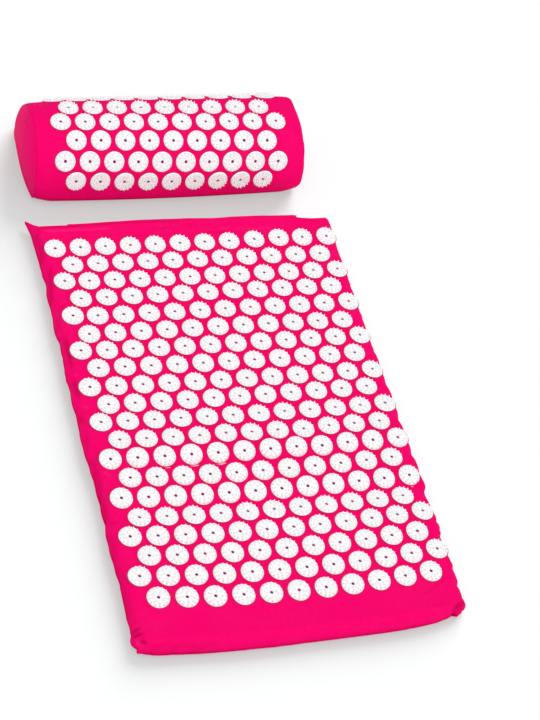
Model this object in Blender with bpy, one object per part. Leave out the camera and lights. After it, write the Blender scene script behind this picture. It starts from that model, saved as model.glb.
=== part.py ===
# Acupressure mat and neck pillow: a quilt-thin foam mat and a half-round foam pillow in
# cotton covers, each carrying staggered rows of moulded plastic discs and a coil zip.
#
# Units are metres, +Z is up. The origin is the middle of the mat's underside, +X runs
# across the mat to the right and +Y runs along it towards the pillow.

import math

import bmesh
import bpy
from mathutils import Matrix, Vector

# Cloth, foam and the gap between pieces that touch
cloth = 0.0015
fit_gap = 0.0003
mat_foam_thickness = 0.020

# Mat cover
mat_width = 0.392
mat_length = 0.642
mat_crown = 0.0015
edge_roll = 0.010
side_draw = 0.002
near_bulge = 0.006
seam_height = 0.009
ear_length = 0.012
ear_reach = 0.024
corner_radius = 0.014
core_room = 0.006
core_zip_room = 0.003
core_edge_radius = 0.007

# Discs, and where their field lies on the mat
disc_radius = 0.01415
disc_thickness = 0.0016
disc_draft = 0.0005
spike_height = 0.0031
spike_ring_share = 0.67
bridge_width = 0.003
disc_gap = 0.0042
row_gap = 0.0037
row_bow = 0.0078
field_side_margin = 0.003
field_far_margin = 0.0503
field_near_margin = 0.067

# Pillow
pillow_length = 0.381
pillow_depth = 0.150
pillow_height = 0.085
pillow_end_bulge = 0.010
pillow_shoulder = 0.030
pillow_x = -0.005
pillow_stand_off = 0.0395
pillow_turn = math.radians(-1.9)
pillow_disc_gap = 0.0032
pillow_field_margin = 0.0385
pillow_front_margin = 0.0372
pillow_back_margin = 0.050
pillow_core_end_room = 0.006
dome_power = 2.2

# Coil zip, the same on both covers
mat_zip_margin = 0.036
pillow_zip_margin = 0.0205
zip_opening_ramp = 0.002
zip_opening_room = 0.0008
zip_end_room = 0.001
coil_height = 0.0018
coil_thickness = 0.002
coil_parting = 0.001
tape_thickness = 0.0007
tape_lap = 0.004
tape_foot_room = 0.0012
slider_length = 0.009
slider_border = 0.0002
slider_plate = 0.001
slider_web_length = 0.003
slider_web_thickness = 0.0004
pin_radius = 0.0008
pull_eye_wall = 0.0007
pull_eye_width = 0.0034
lug_width = 0.001
pull_length = 0.024
pull_width = 0.005
pull_thickness = 0.001
stop_length = 0.002
stop_width = 0.0052

# Shares of the edge roll and of the rise from the zip's opening, from the seam inwards
roll_inset_shares = (0.0, 0.08, 0.28, 0.58, 1.0)
roll_rise_shares = (0.0, 0.1, 0.62, 0.95, 1.0)
sole_rise_shares = (1.0, 0.9, 0.22, 0.0, 0.0)
corner_round_shares = (0.0, 0.6, 1.0, 1.0, 1.0)
# Far left, far right, near left and near right: above nought an ear, below it a soft corner
ear_pull_shares = (1.0, -0.3, 0.25, 0.3)
ear_across_share = 0.7
# Pillow cover from its end to the end of its shoulder: place along it, and how full it is
shoulder_place_shares = (0.0, 0.14, 0.42, 1.0)
shoulder_fill_shares = (0.955, 0.982, 0.996, 1.0)
core_fill_shares = (0.93, 0.96, 0.985, 1.0)
end_ring_shares = (1.0, 0.86, 0.55)
end_centre_share = 0.42
disc_side_angles = tuple(math.radians(a) for a in (62, 118))

# Numbers of divisions
mat_panel_steps_x = 6
mat_panel_steps_y = 11
sole_steps_y = 3
dome_steps = 16
pillow_steps_x = 5
base_steps = 4
eye_sides = 16
edge_segments = 3

# Derived sizes of the mat
half_width = mat_width / 2
half_length = mat_length / 2
core_bottom = cloth + fit_gap
core_top = core_bottom + mat_foam_thickness
mat_top = core_top + fit_gap + cloth
mat_zip_half_length = half_width - edge_roll - mat_zip_margin

# Derived places of the discs
disc_pitch = 2 * disc_radius + disc_gap
row_pitch = math.sqrt((2 * disc_radius + row_gap) ** 2 - (disc_pitch / 2) ** 2)
field_width = mat_width - 2 * (field_side_margin + disc_radius)
field_length = mat_length - field_far_margin - field_near_margin
mat_discs_wide = 1 + int(field_width / disc_pitch)
mat_row_count = 1 + int(field_length / row_pitch)

# Derived sizes of the pillow
half_depth = pillow_depth / 2
cover_half_length = pillow_length / 2 - pillow_end_bulge
pillow_y = half_length + pillow_stand_off + half_depth
pillow_disc_pitch = 2 * disc_radius + pillow_disc_gap
pillow_discs_wide = 1 + int(2 * (cover_half_length - pillow_field_margin) / pillow_disc_pitch)
pillow_zip_half_length = cover_half_length - pillow_shoulder - pillow_zip_margin

# Derived sizes of the zip, in heights from its middle and depths from the cover's wall
coil_high = coil_parting / 2 + coil_height
tape_low = coil_high + fit_gap
lug_start = pull_eye_width / 2 + fit_gap
lug_end = lug_start + lug_width
slider_half_width = lug_end + slider_border
zip_opening_half = slider_half_width + zip_opening_room
tape_top = zip_opening_half + tape_lap
tape_foot = core_bottom + tape_foot_room - seam_height
pull_bore_radius = pin_radius + fit_gap
pull_eye_radius = pull_bore_radius + pull_eye_wall
pin_stand_off = pull_thickness / 2 + 2 * fit_gap
opening_sill = seam_height - zip_opening_half
opening_lintel = seam_height + zip_opening_half

hot_pink = (1.0, 0.0, 0.15, 1.0)
shade_pink = (0.85, 0.0, 0.11, 1.0)
disc_white = (0.92, 0.91, 0.92, 1.0)
foam_cream = (0.86, 0.84, 0.74, 1.0)
zip_metal = (0.72, 0.72, 0.74, 1.0)


def clear_scene():
    for thing in list(bpy.data.objects):
        bpy.data.objects.remove(thing, do_unlink=True)


def material(name, colour, roughness, metallic=0.0):
    made = bpy.data.materials.get(name) or bpy.data.materials.new(name)
    made.use_nodes = True
    shader = made.node_tree.nodes["Principled BSDF"]
    shader.inputs["Base Color"].default_value = colour
    shader.inputs["Roughness"].default_value = roughness
    shader.inputs["Metallic"].default_value = metallic
    made.diffuse_color = colour
    return made


def cotton():
    return material("hot_pink_cotton", hot_pink, 0.85)


def cotton_sole():
    return material("hot_pink_cotton_sole", shade_pink, 0.88)


def disc_plastic():
    return material("white_disc_plastic", disc_white, 0.4)


def foam():
    return material("cream_foam", foam_cream, 0.95)


def zip_nylon():
    return material("pink_zip_nylon", shade_pink, 0.5)


def zip_nickel():
    return material("nickel_zip_metal", zip_metal, 0.3, 1.0)


def add_object(name, mesh, mat, parent=None, smooth=True):
    made = bpy.data.objects.new(name, mesh)
    bpy.context.scene.collection.objects.link(made)
    mesh.materials.append(mat)
    if smooth:
        mesh.shade_smooth()
        mesh.set_sharp_from_angle(angle=math.radians(40))
    made.parent = parent
    return made


def mesh_from(name, build):
    """Make a mesh by filling a bmesh with the function given."""
    work = bmesh.new()
    build(work)
    bmesh.ops.recalc_face_normals(work, faces=work.faces)
    if work.calc_volume(signed=True) < 0:
        bmesh.ops.reverse_faces(work, faces=work.faces)
    mesh = bpy.data.meshes.new(name)
    work.to_mesh(mesh)
    work.free()
    return mesh


def cloth_shell(work, rows, flip, level_row_ends_only=False):
    """Close a grid of vertices into a sheet of cloth, thickened on its inner side.

    The rim's inner edge stays level with its outer edge, so two rims can face each other.
    """
    grid_faces(work, rows)
    if flip:
        bmesh.ops.reverse_faces(work, faces=work.faces)
    work.normal_update()
    outer_faces = list(work.faces)
    inner = {}
    for j, row in enumerate(rows):
        for i, vert in enumerate(row):
            normal = vert.normal.copy()
            at_row_end = i in (0, len(row) - 1)
            at_end_row = j in (0, len(rows) - 1) and not level_row_ends_only
            if at_row_end or at_end_row:
                normal.z = 0
                normal.normalize()
            inner[vert] = work.verts.new(vert.co - normal * cloth)
    for face in outer_faces:
        work.faces.new([inner[vert] for vert in reversed(face.verts)])
    rim = [edge for edge in work.edges if edge.is_boundary and edge.verts[0] in inner]
    for edge in rim:
        loop = edge.link_loops[0]
        start, end = loop.vert, loop.link_loop_next.vert
        work.faces.new((end, start, inner[start], inner[end]))


def thicken(made):
    """Give an open cloth surface its thickness, on its inner side."""
    skin = made.modifiers.new("cloth", "SOLIDIFY")
    skin.thickness = cloth
    skin.offset = -1.0
    skin.use_even_offset = True
    skin.use_rim = True


def grid_faces(work, rows, closed=False):
    """Join rows of vertices into quads; a closed grid also joins each row's ends."""
    for low, high in zip(rows, rows[1:]):
        count = len(low)
        for i in range(count if closed else count - 1):
            j = (i + 1) % count
            work.faces.new((low[i], low[j], high[j], high[i]))


def face_outwards(mesh, outward):
    """Turn an open surface over when its first face looks away from the outward point."""
    first = mesh.polygons[0]
    if first.normal.dot(outward) < 0:
        mesh.flip_normals()


def box(work, low, high):
    """Add a closed box between two corners."""
    size = [b - a for a, b in zip(low, high)]
    centre = [(a + b) / 2 for a, b in zip(low, high)]
    place = Matrix.Translation(centre) @ Matrix.Diagonal((*size, 1.0))
    bmesh.ops.create_cube(work, size=1.0, matrix=place)


def rod(work, radius, start, end):
    """Add a closed round rod along Z between two heights."""
    centre = Vector((start[0], start[1], (start[2] + end[2]) / 2))
    bmesh.ops.create_cone(
        work, cap_ends=True, segments=eye_sides, radius1=radius, radius2=radius,
        depth=end[2] - start[2], matrix=Matrix.Translation(centre))


def spread(start, end, steps):
    return [start + (end - start) * i / steps for i in range(steps + 1)]


def mat_stations(half, steps, zip_half=None):
    """Grid lines across the mat: the roll's, where the corners' pull ends, and the middle's."""
    edge = [-half + edge_roll * share for share in roll_inset_shares] + [-half + ear_reach]
    if zip_half is None:
        middle = spread(edge[-1], -edge[-1], steps)[1:-1]
    else:
        ramp = zip_half + zip_opening_ramp
        middle = [-ramp, *spread(-zip_half, zip_half, steps), ramp]
    return sorted(edge + middle + [-x for x in edge])


def mat_height(x, y):
    """Height of the mat's upper surface over its flat middle, with its low crown."""
    u = min(1.0, abs(x) / (half_width - edge_roll))
    v = min(1.0, abs(y) / (half_length - edge_roll))
    return mat_top + mat_crown * (1 - u * u) * (1 - v * v)


def round_corner(x, y, amount):
    """Round a point of the square plan into a plan with soft corners."""
    inner_x = half_width - corner_radius
    inner_y = half_length - corner_radius
    u = (abs(x) - inner_x) / corner_radius
    v = (abs(y) - inner_y) / corner_radius
    if u <= 0 or v <= 0:
        return x, y
    round_u = u * math.sqrt(1 - v * v / 2)
    round_v = v * math.sqrt(1 - u * u / 2)
    u += (round_u - u) * amount
    v += (round_v - v) * amount
    return (math.copysign(inner_x + corner_radius * u, x),
            math.copysign(inner_y + corner_radius * v, y))


def pull_corner(x, y, ring_share):
    """Draw the seam's corner out into an ear, more along the mat than across it, or in."""
    along = (half_width - abs(x)) + (half_length - abs(y))
    near_corner = max(0.0, 1 - along / ear_reach)
    share = ear_pull_shares[(0 if y > 0 else 2) + (0 if x < 0 else 1)]
    shift = ear_length * share * near_corner ** 2 * (1 - ring_share)
    return (x + math.copysign(1, x) * shift * ear_across_share,
            y + math.copysign(1, y) * shift)


def ease_plan(x, y):
    """Draw the long sides in a little and let the near end bulge."""
    u = x / half_width
    v = y / half_length
    x -= side_draw * (1 - v * v) * u
    y += near_bulge * u * u * min(0.0, v) ** 2
    return x, y


def rim_height(side, at_zip):
    """Height of a panel's rim: level at the seam, and drawn back along the zip."""
    return seam_height + side * (zip_opening_half if at_zip else fit_gap / 2)


def sole_rise(ring):
    """Height of the lower panel's rings, from just under the zip's opening to the sole."""
    return opening_sill * sole_rise_shares[ring]


def top_rise(ring, top):
    """Height of the upper panel's rings, from just over the zip's opening to the top."""
    return opening_lintel + (top - opening_lintel) * roll_rise_shares[ring]


def wall_inset(profile, height):
    """How far a wall has turned in at a height, with the cloth's own thickness there."""
    for (inset, z), (next_inset, next_z) in zip(profile, profile[1:]):
        if min(z, next_z) <= height <= max(z, next_z):
            slope = (next_inset - inset) / (next_z - z)
            there = inset + slope * (height - z)
            return there + cloth * math.sqrt(1 + slope * slope)
    return profile[-1][0] + cloth


def tape_depth(upper_profile, lower_profile):
    """Depth of the tapes' outer face: clear of the cover's wall at their outer edges."""
    upper = wall_inset(upper_profile, seam_height + tape_top)
    lower = wall_inset(lower_profile, seam_height + tape_foot)
    return max(upper, lower) + fit_gap


def mat_zip_depth():
    insets = [edge_roll * share for share in roll_inset_shares]
    upper = [(inset, top_rise(ring, mat_top)) for ring, inset in enumerate(insets)]
    lower = [(inset, sole_rise(ring)) for ring, inset in enumerate(insets)]
    return tape_depth(upper, lower)


def zip_reach(depth):
    """Depth of the inner face of the slider, the innermost piece of the zip."""
    return depth + (tape_thickness + coil_thickness) / 2 + fit_gap + slider_plate


def mat_panel_point(x, y, ring, is_sole):
    """A point of the cover's upper or lower panel; ring 0 is its rim at the seam."""
    if ring == 0:
        at_zip = y >= half_length and abs(x) < mat_zip_half_length + zip_opening_ramp / 2
        z = rim_height(-1 if is_sole else 1, at_zip)
    elif is_sole:
        z = sole_rise(ring)
    else:
        z = top_rise(ring, mat_height(x, y))
    rounding = corner_round_shares[ring]
    x, y = round_corner(x, y, rounding)
    x, y = pull_corner(x, y, rounding)
    x, y = ease_plan(x, y)
    return x, y, z


def mat_panel(name, mat, steps_y, is_sole):
    xs = mat_stations(half_width, mat_panel_steps_x, mat_zip_half_length)
    ys = mat_stations(half_length, steps_y)
    last_ring = len(roll_inset_shares) - 1

    def build(work):
        rows = []
        for j, y in enumerate(ys):
            row = []
            for i, x in enumerate(xs):
                ring = min(i, j, len(xs) - 1 - i, len(ys) - 1 - j, last_ring)
                row.append(work.verts.new(mat_panel_point(x, y, ring, is_sole)))
            rows.append(row)
        cloth_shell(work, rows, flip=is_sole)

    return add_object(name, mesh_from(name, build), mat)


def mat_foam_core():
    core_half_width = half_width - side_draw - core_room
    near_end = -half_length + near_bulge + core_room
    far_end = half_length - zip_reach(mat_zip_depth()) - core_zip_room

    def build(work):
        box(work, (-core_half_width, near_end, core_bottom),
            (core_half_width, far_end, core_top))

    made = add_object("mat_foam_core", mesh_from("mat_foam_core", build), foam())
    soft = made.modifiers.new("soft edges", "BEVEL")
    soft.width = core_edge_radius
    soft.segments = edge_segments
    return made


def disc_ring():
    """Angles round a disc: the two bridge sides and the points between them."""
    half_bridge = math.asin(bridge_width / 2 / disc_radius)
    upper = [half_bridge, *disc_side_angles, math.pi - half_bridge]
    return upper + [-angle for angle in reversed(upper)]


def spiked_top(work, frame, rim, angles, bridge_sides):
    """Top of a disc: a point stands on each side of the rim but the bridges', and the middle is low.

    Six broad points stand for the many fine ones that are moulded on a real disc.
    """
    middle = work.verts.new(frame @ Vector((0, 0, disc_thickness)))
    radius = (disc_radius - disc_draft) * spike_ring_share
    for i, start in enumerate(rim):
        j = (i + 1) % len(rim)
        end = rim[j]
        if i in bridge_sides:
            work.faces.new((start, end, middle))
            continue
        a = (angles[i] + angles[j]) / 2
        tip = work.verts.new(frame @ Vector(
            (radius * math.cos(a), radius * math.sin(a), disc_thickness + spike_height)))
        work.faces.new((start, end, tip))
        work.faces.new((end, middle, tip))
        work.faces.new((middle, start, tip))


def disc_row(name, frames, parent=None):
    """One row of discs, moulded as one piece by the small bridges between neighbours.

    Each frame is a matrix at a disc's centre on the cloth, with Z away from the cloth.
    """
    angles = disc_ring()
    count = len(angles)
    right_up, left_up = 0, count // 2 - 1
    right_down, left_down = count - 1, count // 2

    def build(work):
        before = None
        for index, frame in enumerate(frames):
            lower = [work.verts.new(frame @ Vector(
                (disc_radius * math.cos(a), disc_radius * math.sin(a), 0)))
                for a in angles]
            top_radius = disc_radius - disc_draft
            upper = [work.verts.new(frame @ Vector(
                (top_radius * math.cos(a), top_radius * math.sin(a), disc_thickness)))
                for a in angles]
            work.faces.new(list(reversed(lower)))
            spiked_top(work, frame, upper, angles, (right_down, left_up))
            for i in range(count):
                j = (i + 1) % count
                to_next = i == right_down and index < len(frames) - 1
                to_last = i == left_up and index > 0
                if not to_next and not to_last:
                    work.faces.new((lower[i], lower[j], upper[j], upper[i]))
            if before:
                last_lower, last_upper = before
                work.faces.new((last_lower[right_down], lower[left_down],
                                lower[left_up], last_lower[right_up]))
                work.faces.new((last_upper[right_up], upper[left_up],
                                upper[left_down], last_upper[right_down]))
                work.faces.new((last_lower[right_up], lower[left_up],
                                upper[left_up], last_upper[right_up]))
                work.faces.new((last_upper[right_down], upper[left_down],
                                lower[left_down], last_lower[right_down]))
            before = (lower, upper)

    return add_object(name, mesh_from(name, build), disc_plastic(), parent)


def mat_disc_place(row, column, count):
    """Centre of a disc on the mat: rows bow towards the near end, more the nearer they are."""
    x = (column - (count - 1) / 2) * disc_pitch
    half_field = (mat_discs_wide - 1) / 2 * disc_pitch
    from_far = row / (mat_row_count - 1)
    bow = row_bow * (1 - (x / half_field) ** 2) * from_far
    return x, half_length - field_far_margin - row * row_pitch - bow


def mat_disc_frame(x, y):
    """Frame of a disc lying on the crowned mat."""
    step = disc_radius
    slope_x = (mat_height(x + step, y) - mat_height(x - step, y)) / (2 * step)
    slope_y = (mat_height(x, y + step) - mat_height(x, y - step)) / (2 * step)
    normal = Vector((-slope_x, -slope_y, 1)).normalized()
    along = Vector((1, 0, slope_x)).normalized()
    across = normal.cross(along)
    centre = Vector((x, y, mat_height(x, y))) + normal * fit_gap
    turn = Matrix((along, across, normal)).transposed().to_4x4()
    return Matrix.Translation(centre) @ turn


def mat_disc_rows():
    for row in range(mat_row_count):
        count = mat_discs_wide - row % 2
        frames = [mat_disc_frame(*mat_disc_place(row, column, count))
                  for column in range(count)]
        disc_row(f"mat_disc_row_{row + 1:02d}", frames)


def dome_point(angle, fill=1.0, depth=half_depth, height=pillow_height):
    """Point of the pillow's half-round section, from its front foot (0) to its back (pi)."""
    power = 2 / dome_power
    y = -math.copysign(abs(math.cos(angle)) ** power, math.cos(angle)) * depth * fill
    z = abs(math.sin(angle)) ** power * height * fill
    return y, z


def dome_foot_angle(rim):
    """Angle at which the full section stands at the height of the seam's rim."""
    return math.asin((rim / pillow_height) ** (dome_power / 2))


def pillow_wall():
    """Distance of the pillow's wall from its middle, at the height of the seam."""
    return abs(dome_point(dome_foot_angle(seam_height))[0])


def pillow_zip_depth():
    wall = pillow_wall()
    upper = [(wall - abs(y), z) for y, z in dome_profile(0, 1.0)[:dome_steps // 2]]
    lower = [(wall - abs(y), z) for y, z in base_profile(0, 1.0)[:len(roll_inset_shares)]]
    return tape_depth(upper, lower)


def pillow_stations():
    """Places along the pillow with how full the cover is there, from left to right."""
    shoulder = [(-cover_half_length + pillow_shoulder * place, fill)
                for place, fill in zip(shoulder_place_shares, shoulder_fill_shares)]
    ramp = pillow_zip_half_length + zip_opening_ramp
    middle = [(x, 1.0) for x in
              [-ramp,
               *spread(-pillow_zip_half_length, pillow_zip_half_length, pillow_steps_x),
               ramp]]
    return shoulder + middle + [(-x, fill) for x, fill in reversed(shoulder)]


def back_rim(x, side):
    """Height of a pillow panel's back rim, which the zip's opening draws back."""
    return rim_height(side, abs(x) < pillow_zip_half_length + zip_opening_ramp / 2)


def dome_profile(x, fill):
    """Section of the pillow's upper cover, from its front rim to its back rim."""
    front = dome_foot_angle(rim_height(1, False))
    back = math.pi - dome_foot_angle(back_rim(x, 1))
    points = []
    for step in range(dome_steps + 1):
        y, z = dome_point(front + (back - front) * step / dome_steps)
        points.append((y * fill, seam_height + (z - seam_height) * fill))
    return points


def base_profile(x, fill):
    """Section of the pillow's base: a flat sole with a rolled lip up to the seam."""
    foot = pillow_wall()
    lip = [(foot - edge_roll * share, sole_rise(ring))
           for ring, share in enumerate(roll_inset_shares)]
    front = [(-y, z) for y, z in lip]
    front[0] = (-foot, rim_height(-1, False))
    back = list(reversed(lip))
    back[-1] = (foot, back_rim(x, -1))
    middle = [(y, 0.0) for y in spread(front[-1][0], back[0][0], base_steps)[1:-1]]
    return [(y * fill, z) for y, z in front + middle + back]


def pillow_sheet(name, profile, mat, parent, flip):
    def build(work):
        rows = [[work.verts.new((x, y, z)) for y, z in profile(x, fill)]
                for x, fill in pillow_stations()]
        cloth_shell(work, rows, flip, level_row_ends_only=True)

    return add_object(name, mesh_from(name, build), mat, parent)


def pillow_end(name, side, parent):
    """Bulging end panel, in rings shrinking to its middle."""
    fill = shoulder_fill_shares[0]
    outline = dome_profile(cover_half_length, fill)
    outline += [(y, max(z, fit_gap))
                for y, z in reversed(base_profile(cover_half_length, fill)[1:-1])]
    centre_z = pillow_height * end_centre_share
    start = cover_half_length + fit_gap + cloth

    def build(work):
        rings = []
        for share in end_ring_shares:
            x = start + (pillow_end_bulge - fit_gap - cloth) * (1 - share ** 2)
            rings.append([work.verts.new(
                (side * x, y * share, centre_z + (z - centre_z) * share))
                for y, z in outline])
        grid_faces(work, rings, closed=True)
        tip = work.verts.new((side * pillow_length / 2, 0, centre_z))
        inner = rings[-1]
        for i, vert in enumerate(inner):
            work.faces.new((vert, inner[(i + 1) % len(inner)], tip))

    mesh = mesh_from(name, build)
    face_outwards(mesh, Vector((side, 0, 0)))
    made = add_object(name, mesh, cotton(), parent)
    thicken(made)
    return made


def pillow_core(parent):
    """Half-round foam block inside the pillow, rounded at its lower edges and its ends."""
    depth = pillow_wall() - zip_reach(pillow_zip_depth()) - core_zip_room
    height = pillow_height - cloth - fit_gap
    foot = math.asin(((core_bottom + core_edge_radius) / height) ** (dome_power / 2))
    half = cover_half_length - pillow_core_end_room

    def section(fill):
        arch = [dome_point(foot + (math.pi - 2 * foot) * i / dome_steps, 1.0, depth, height)
                for i in range(dome_steps + 1)]
        flat = arch[0][0] + core_edge_radius
        points = [(flat, core_bottom), *arch, (-flat, core_bottom)]
        return [(y * fill, core_bottom + (z - core_bottom) * fill) for y, z in points]

    def build(work):
        ends = [(-half + pillow_shoulder * place, fill)
                for place, fill in zip(shoulder_place_shares, core_fill_shares)]
        ends += [(-x, fill) for x, fill in reversed(ends)]
        rings = [[work.verts.new((x, y, z)) for y, z in section(fill)] for x, fill in ends]
        grid_faces(work, rings, closed=True)
        work.faces.new(rings[0])
        work.faces.new(list(reversed(rings[-1])))

    return add_object("pillow_foam_core", mesh_from("pillow_foam_core", build), foam(), parent)


def dome_fine_points():
    steps = 400
    return [Vector(dome_point(math.pi * step / steps)) for step in range(steps + 1)]


def dome_arc_length():
    points = dome_fine_points()
    return sum((b - a).length for a, b in zip(points, points[1:]))


def dome_at_arc(target):
    """Point and slope angle of the full section at a length of cloth from its front foot."""
    points = dome_fine_points()
    gone = 0.0
    last = points[0]
    for here in points[1:]:
        length = (here - last).length
        if gone + length >= target:
            run = here - last
            return last + run * (target - gone) / length, math.atan2(run.y, run.x)
        gone += length
        last = here
    return last, -math.pi / 2


def pillow_disc_rows(parent):
    covered = dome_arc_length() - pillow_front_margin - pillow_back_margin
    for row in range(1 + int(covered / row_pitch)):
        count = pillow_discs_wide - 1 + row % 2
        point, slope = dome_at_arc(pillow_front_margin + row * row_pitch)
        turn = Matrix.Rotation(slope, 4, "X")
        frames = []
        for column in range(count):
            x = (column - (count - 1) / 2) * pillow_disc_pitch
            lift = Matrix.Translation((0, 0, fit_gap))
            frames.append(Matrix.Translation((x, *point)) @ turn @ lift)
        disc_row(f"pillow_disc_row_{row + 1}", frames, parent)


def zip_block(name, low, high, mat, parent):
    mesh = mesh_from(name, lambda work: box(work, low, high))
    return add_object(name, mesh, mat, parent, smooth=False)


def zip_strips(prefix, half, depth, parent):
    """Two tapes, the two coils sewn to them and the stop at each end of the coils."""
    half -= zip_end_room
    tape_outer = -depth
    tape_inner = tape_outer - tape_thickness
    coil_outer = (tape_outer + tape_inner) / 2 + coil_thickness / 2
    coil_inner = coil_outer - coil_thickness
    coil_low = coil_parting / 2
    zip_block(f"{prefix}_zip_coil_upper", (-half, coil_inner, coil_low),
              (half, coil_outer, coil_high), zip_nylon(), parent)
    zip_block(f"{prefix}_zip_coil_lower", (-half, coil_inner, -coil_high),
              (half, coil_outer, -coil_low), zip_nylon(), parent)
    zip_block(f"{prefix}_zip_tape_upper", (-half, tape_inner, tape_low),
              (half, tape_outer, tape_top), cotton_sole(), parent)
    zip_block(f"{prefix}_zip_tape_lower", (-half, tape_inner, tape_foot),
              (half, tape_outer, -tape_low), cotton_sole(), parent)
    plate_inner = coil_outer + fit_gap
    for side, name in ((-1, "left"), (1, "right")):
        ends = sorted((side * half, side * (half - stop_length)))
        zip_block(f"{prefix}_zip_stop_{name}", (ends[0], plate_inner, -stop_width / 2),
                  (ends[1], plate_inner + slider_plate, stop_width / 2), zip_nickel(), parent)
    return coil_outer, coil_inner


def joined(name, builders, mat, parent):
    """Union of several closed shapes as one solid."""
    made = None
    for build in builders:
        piece = add_object(name, mesh_from(name, build), mat)
        if made is None:
            made = piece
            continue
        union = made.modifiers.new("union", "BOOLEAN")
        union.operation = "UNION"
        union.object = piece
        bpy.context.view_layer.update()
        graph = bpy.context.evaluated_depsgraph_get()
        mesh = bpy.data.meshes.new_from_object(made.evaluated_get(graph))
        made.modifiers.clear()
        made.data = mesh
        bpy.data.objects.remove(piece, do_unlink=True)
    made.name = name
    made.parent = parent
    made.data.shade_smooth()
    made.data.set_sharp_from_angle(angle=math.radians(40))
    return made


def zip_slider(prefix, coil_outer, coil_inner, parent):
    """Slider with its plates either side of the coils, the web between, two lugs and a pin.

    Its own zero is on the pull's hinge pin.
    """
    plate_low = coil_outer + fit_gap
    plate_high = plate_low + slider_plate
    pin_y = max(pin_stand_off, plate_high + fit_gap + pull_eye_radius)
    inner_high = coil_inner - fit_gap
    inner_low = inner_high - slider_plate
    lug_half = pin_radius + slider_plate
    overrun = slider_plate / 2

    def plate(low, high):
        return lambda work: box(
            work, (-slider_length / 2, low - pin_y, -slider_half_width),
            (slider_length / 2, high - pin_y, slider_half_width))

    def web(work):
        box(work, (-slider_web_length / 2, inner_high - overrun - pin_y,
                   -slider_web_thickness / 2),
            (slider_web_length / 2, plate_low + overrun - pin_y, slider_web_thickness / 2))

    def lug(side):
        heights = sorted((side * lug_start, side * lug_end))
        return lambda work: box(work, (-lug_half, plate_high - overrun - pin_y, heights[0]),
                                (lug_half, lug_half, heights[1]))

    def pin(work):
        reach = lug_start + lug_width / 2
        rod(work, pin_radius, (0, 0, -reach), (0, 0, reach))

    shapes = [plate(plate_low, plate_high), plate(inner_low, inner_high), web,
              lug(-1), lug(1), pin]
    made = joined(f"{prefix}_zip_slider", shapes, zip_nickel(), parent)
    return made, pin_y


def zip_pull(prefix, parent):
    """Pull tab: an eye round the slider's pin and a flat tab along the zip."""
    eye_half = pull_eye_width / 2
    tab_low = -pull_thickness / 2
    tab_start = (pull_bore_radius + pull_eye_radius) / 2

    def eye(work):
        rod(work, pull_eye_radius, (0, 0, -eye_half), (0, 0, eye_half))

    def tab(work):
        neck = tab_start + slider_length / 2
        box(work, (tab_start, tab_low, -eye_half), (neck, -tab_low, eye_half))

    def handle(work):
        box(work, (slider_length / 2, tab_low, -pull_width / 2),
            (pull_length, -tab_low, pull_width / 2))

    made = joined(f"{prefix}_zip_pull", [eye, tab, handle], zip_nickel(), parent)
    cutter_mesh = mesh_from("eye bore", lambda work: rod(
        work, pull_bore_radius, (0, 0, -eye_half - lug_width),
        (0, 0, eye_half + lug_width)))
    cutter = add_object(f"{prefix}_eye_bore", cutter_mesh, zip_nickel(), parent)
    cutter.hide_render = True
    cutter.display_type = "WIRE"
    bore = made.modifiers.new("eye bore", "BOOLEAN")
    bore.operation = "DIFFERENCE"
    bore.object = cutter
    return made


def empty(name, place, parent=None):
    made = bpy.data.objects.new(name, None)
    bpy.context.scene.collection.objects.link(made)
    made.matrix_local = place
    made.parent = parent
    return made


def zip_set(prefix, half, depth, place, parent=None):
    """A whole zip in a frame whose X runs along it and whose Y faces out of the cover."""
    frame = empty(f"{prefix}_zip_frame", place, parent)
    coil_outer, coil_inner = zip_strips(prefix, half, depth, frame)
    slider, pin_y = zip_slider(prefix, coil_outer, coil_inner, frame)
    closed_x = -half + zip_end_room + stop_length + fit_gap + slider_length / 2
    slider.location = (closed_x, pin_y, 0)
    zip_pull(prefix, slider)


def build_mat():
    mat_panel("mat_top_panel", cotton(), mat_panel_steps_y, False)
    mat_panel("mat_bottom_panel", cotton_sole(), sole_steps_y, True)
    mat_foam_core()
    mat_disc_rows()
    zip_set("mat", mat_zip_half_length, mat_zip_depth(),
            Matrix.Translation((0, half_length, seam_height)))


def build_pillow():
    place = Matrix.Translation((pillow_x, pillow_y, 0)) @ Matrix.Rotation(pillow_turn, 4, "Z")
    frame = empty("pillow_frame", place)
    pillow_sheet("pillow_cover", dome_profile, cotton(), frame, flip=True)
    pillow_sheet("pillow_base", base_profile, cotton_sole(), frame, flip=False)
    pillow_end("pillow_end_left", -1, frame)
    pillow_end("pillow_end_right", 1, frame)
    pillow_core(frame)
    pillow_disc_rows(frame)
    zip_set("pillow", pillow_zip_half_length, pillow_zip_depth(),
            Matrix.Translation((0, pillow_wall(), seam_height)), frame)


clear_scene()
build_mat()
build_pillow()
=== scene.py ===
import bisect
import math
import random

import bmesh
import bpy
from mathutils import Euler, Matrix, Vector, noise


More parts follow.
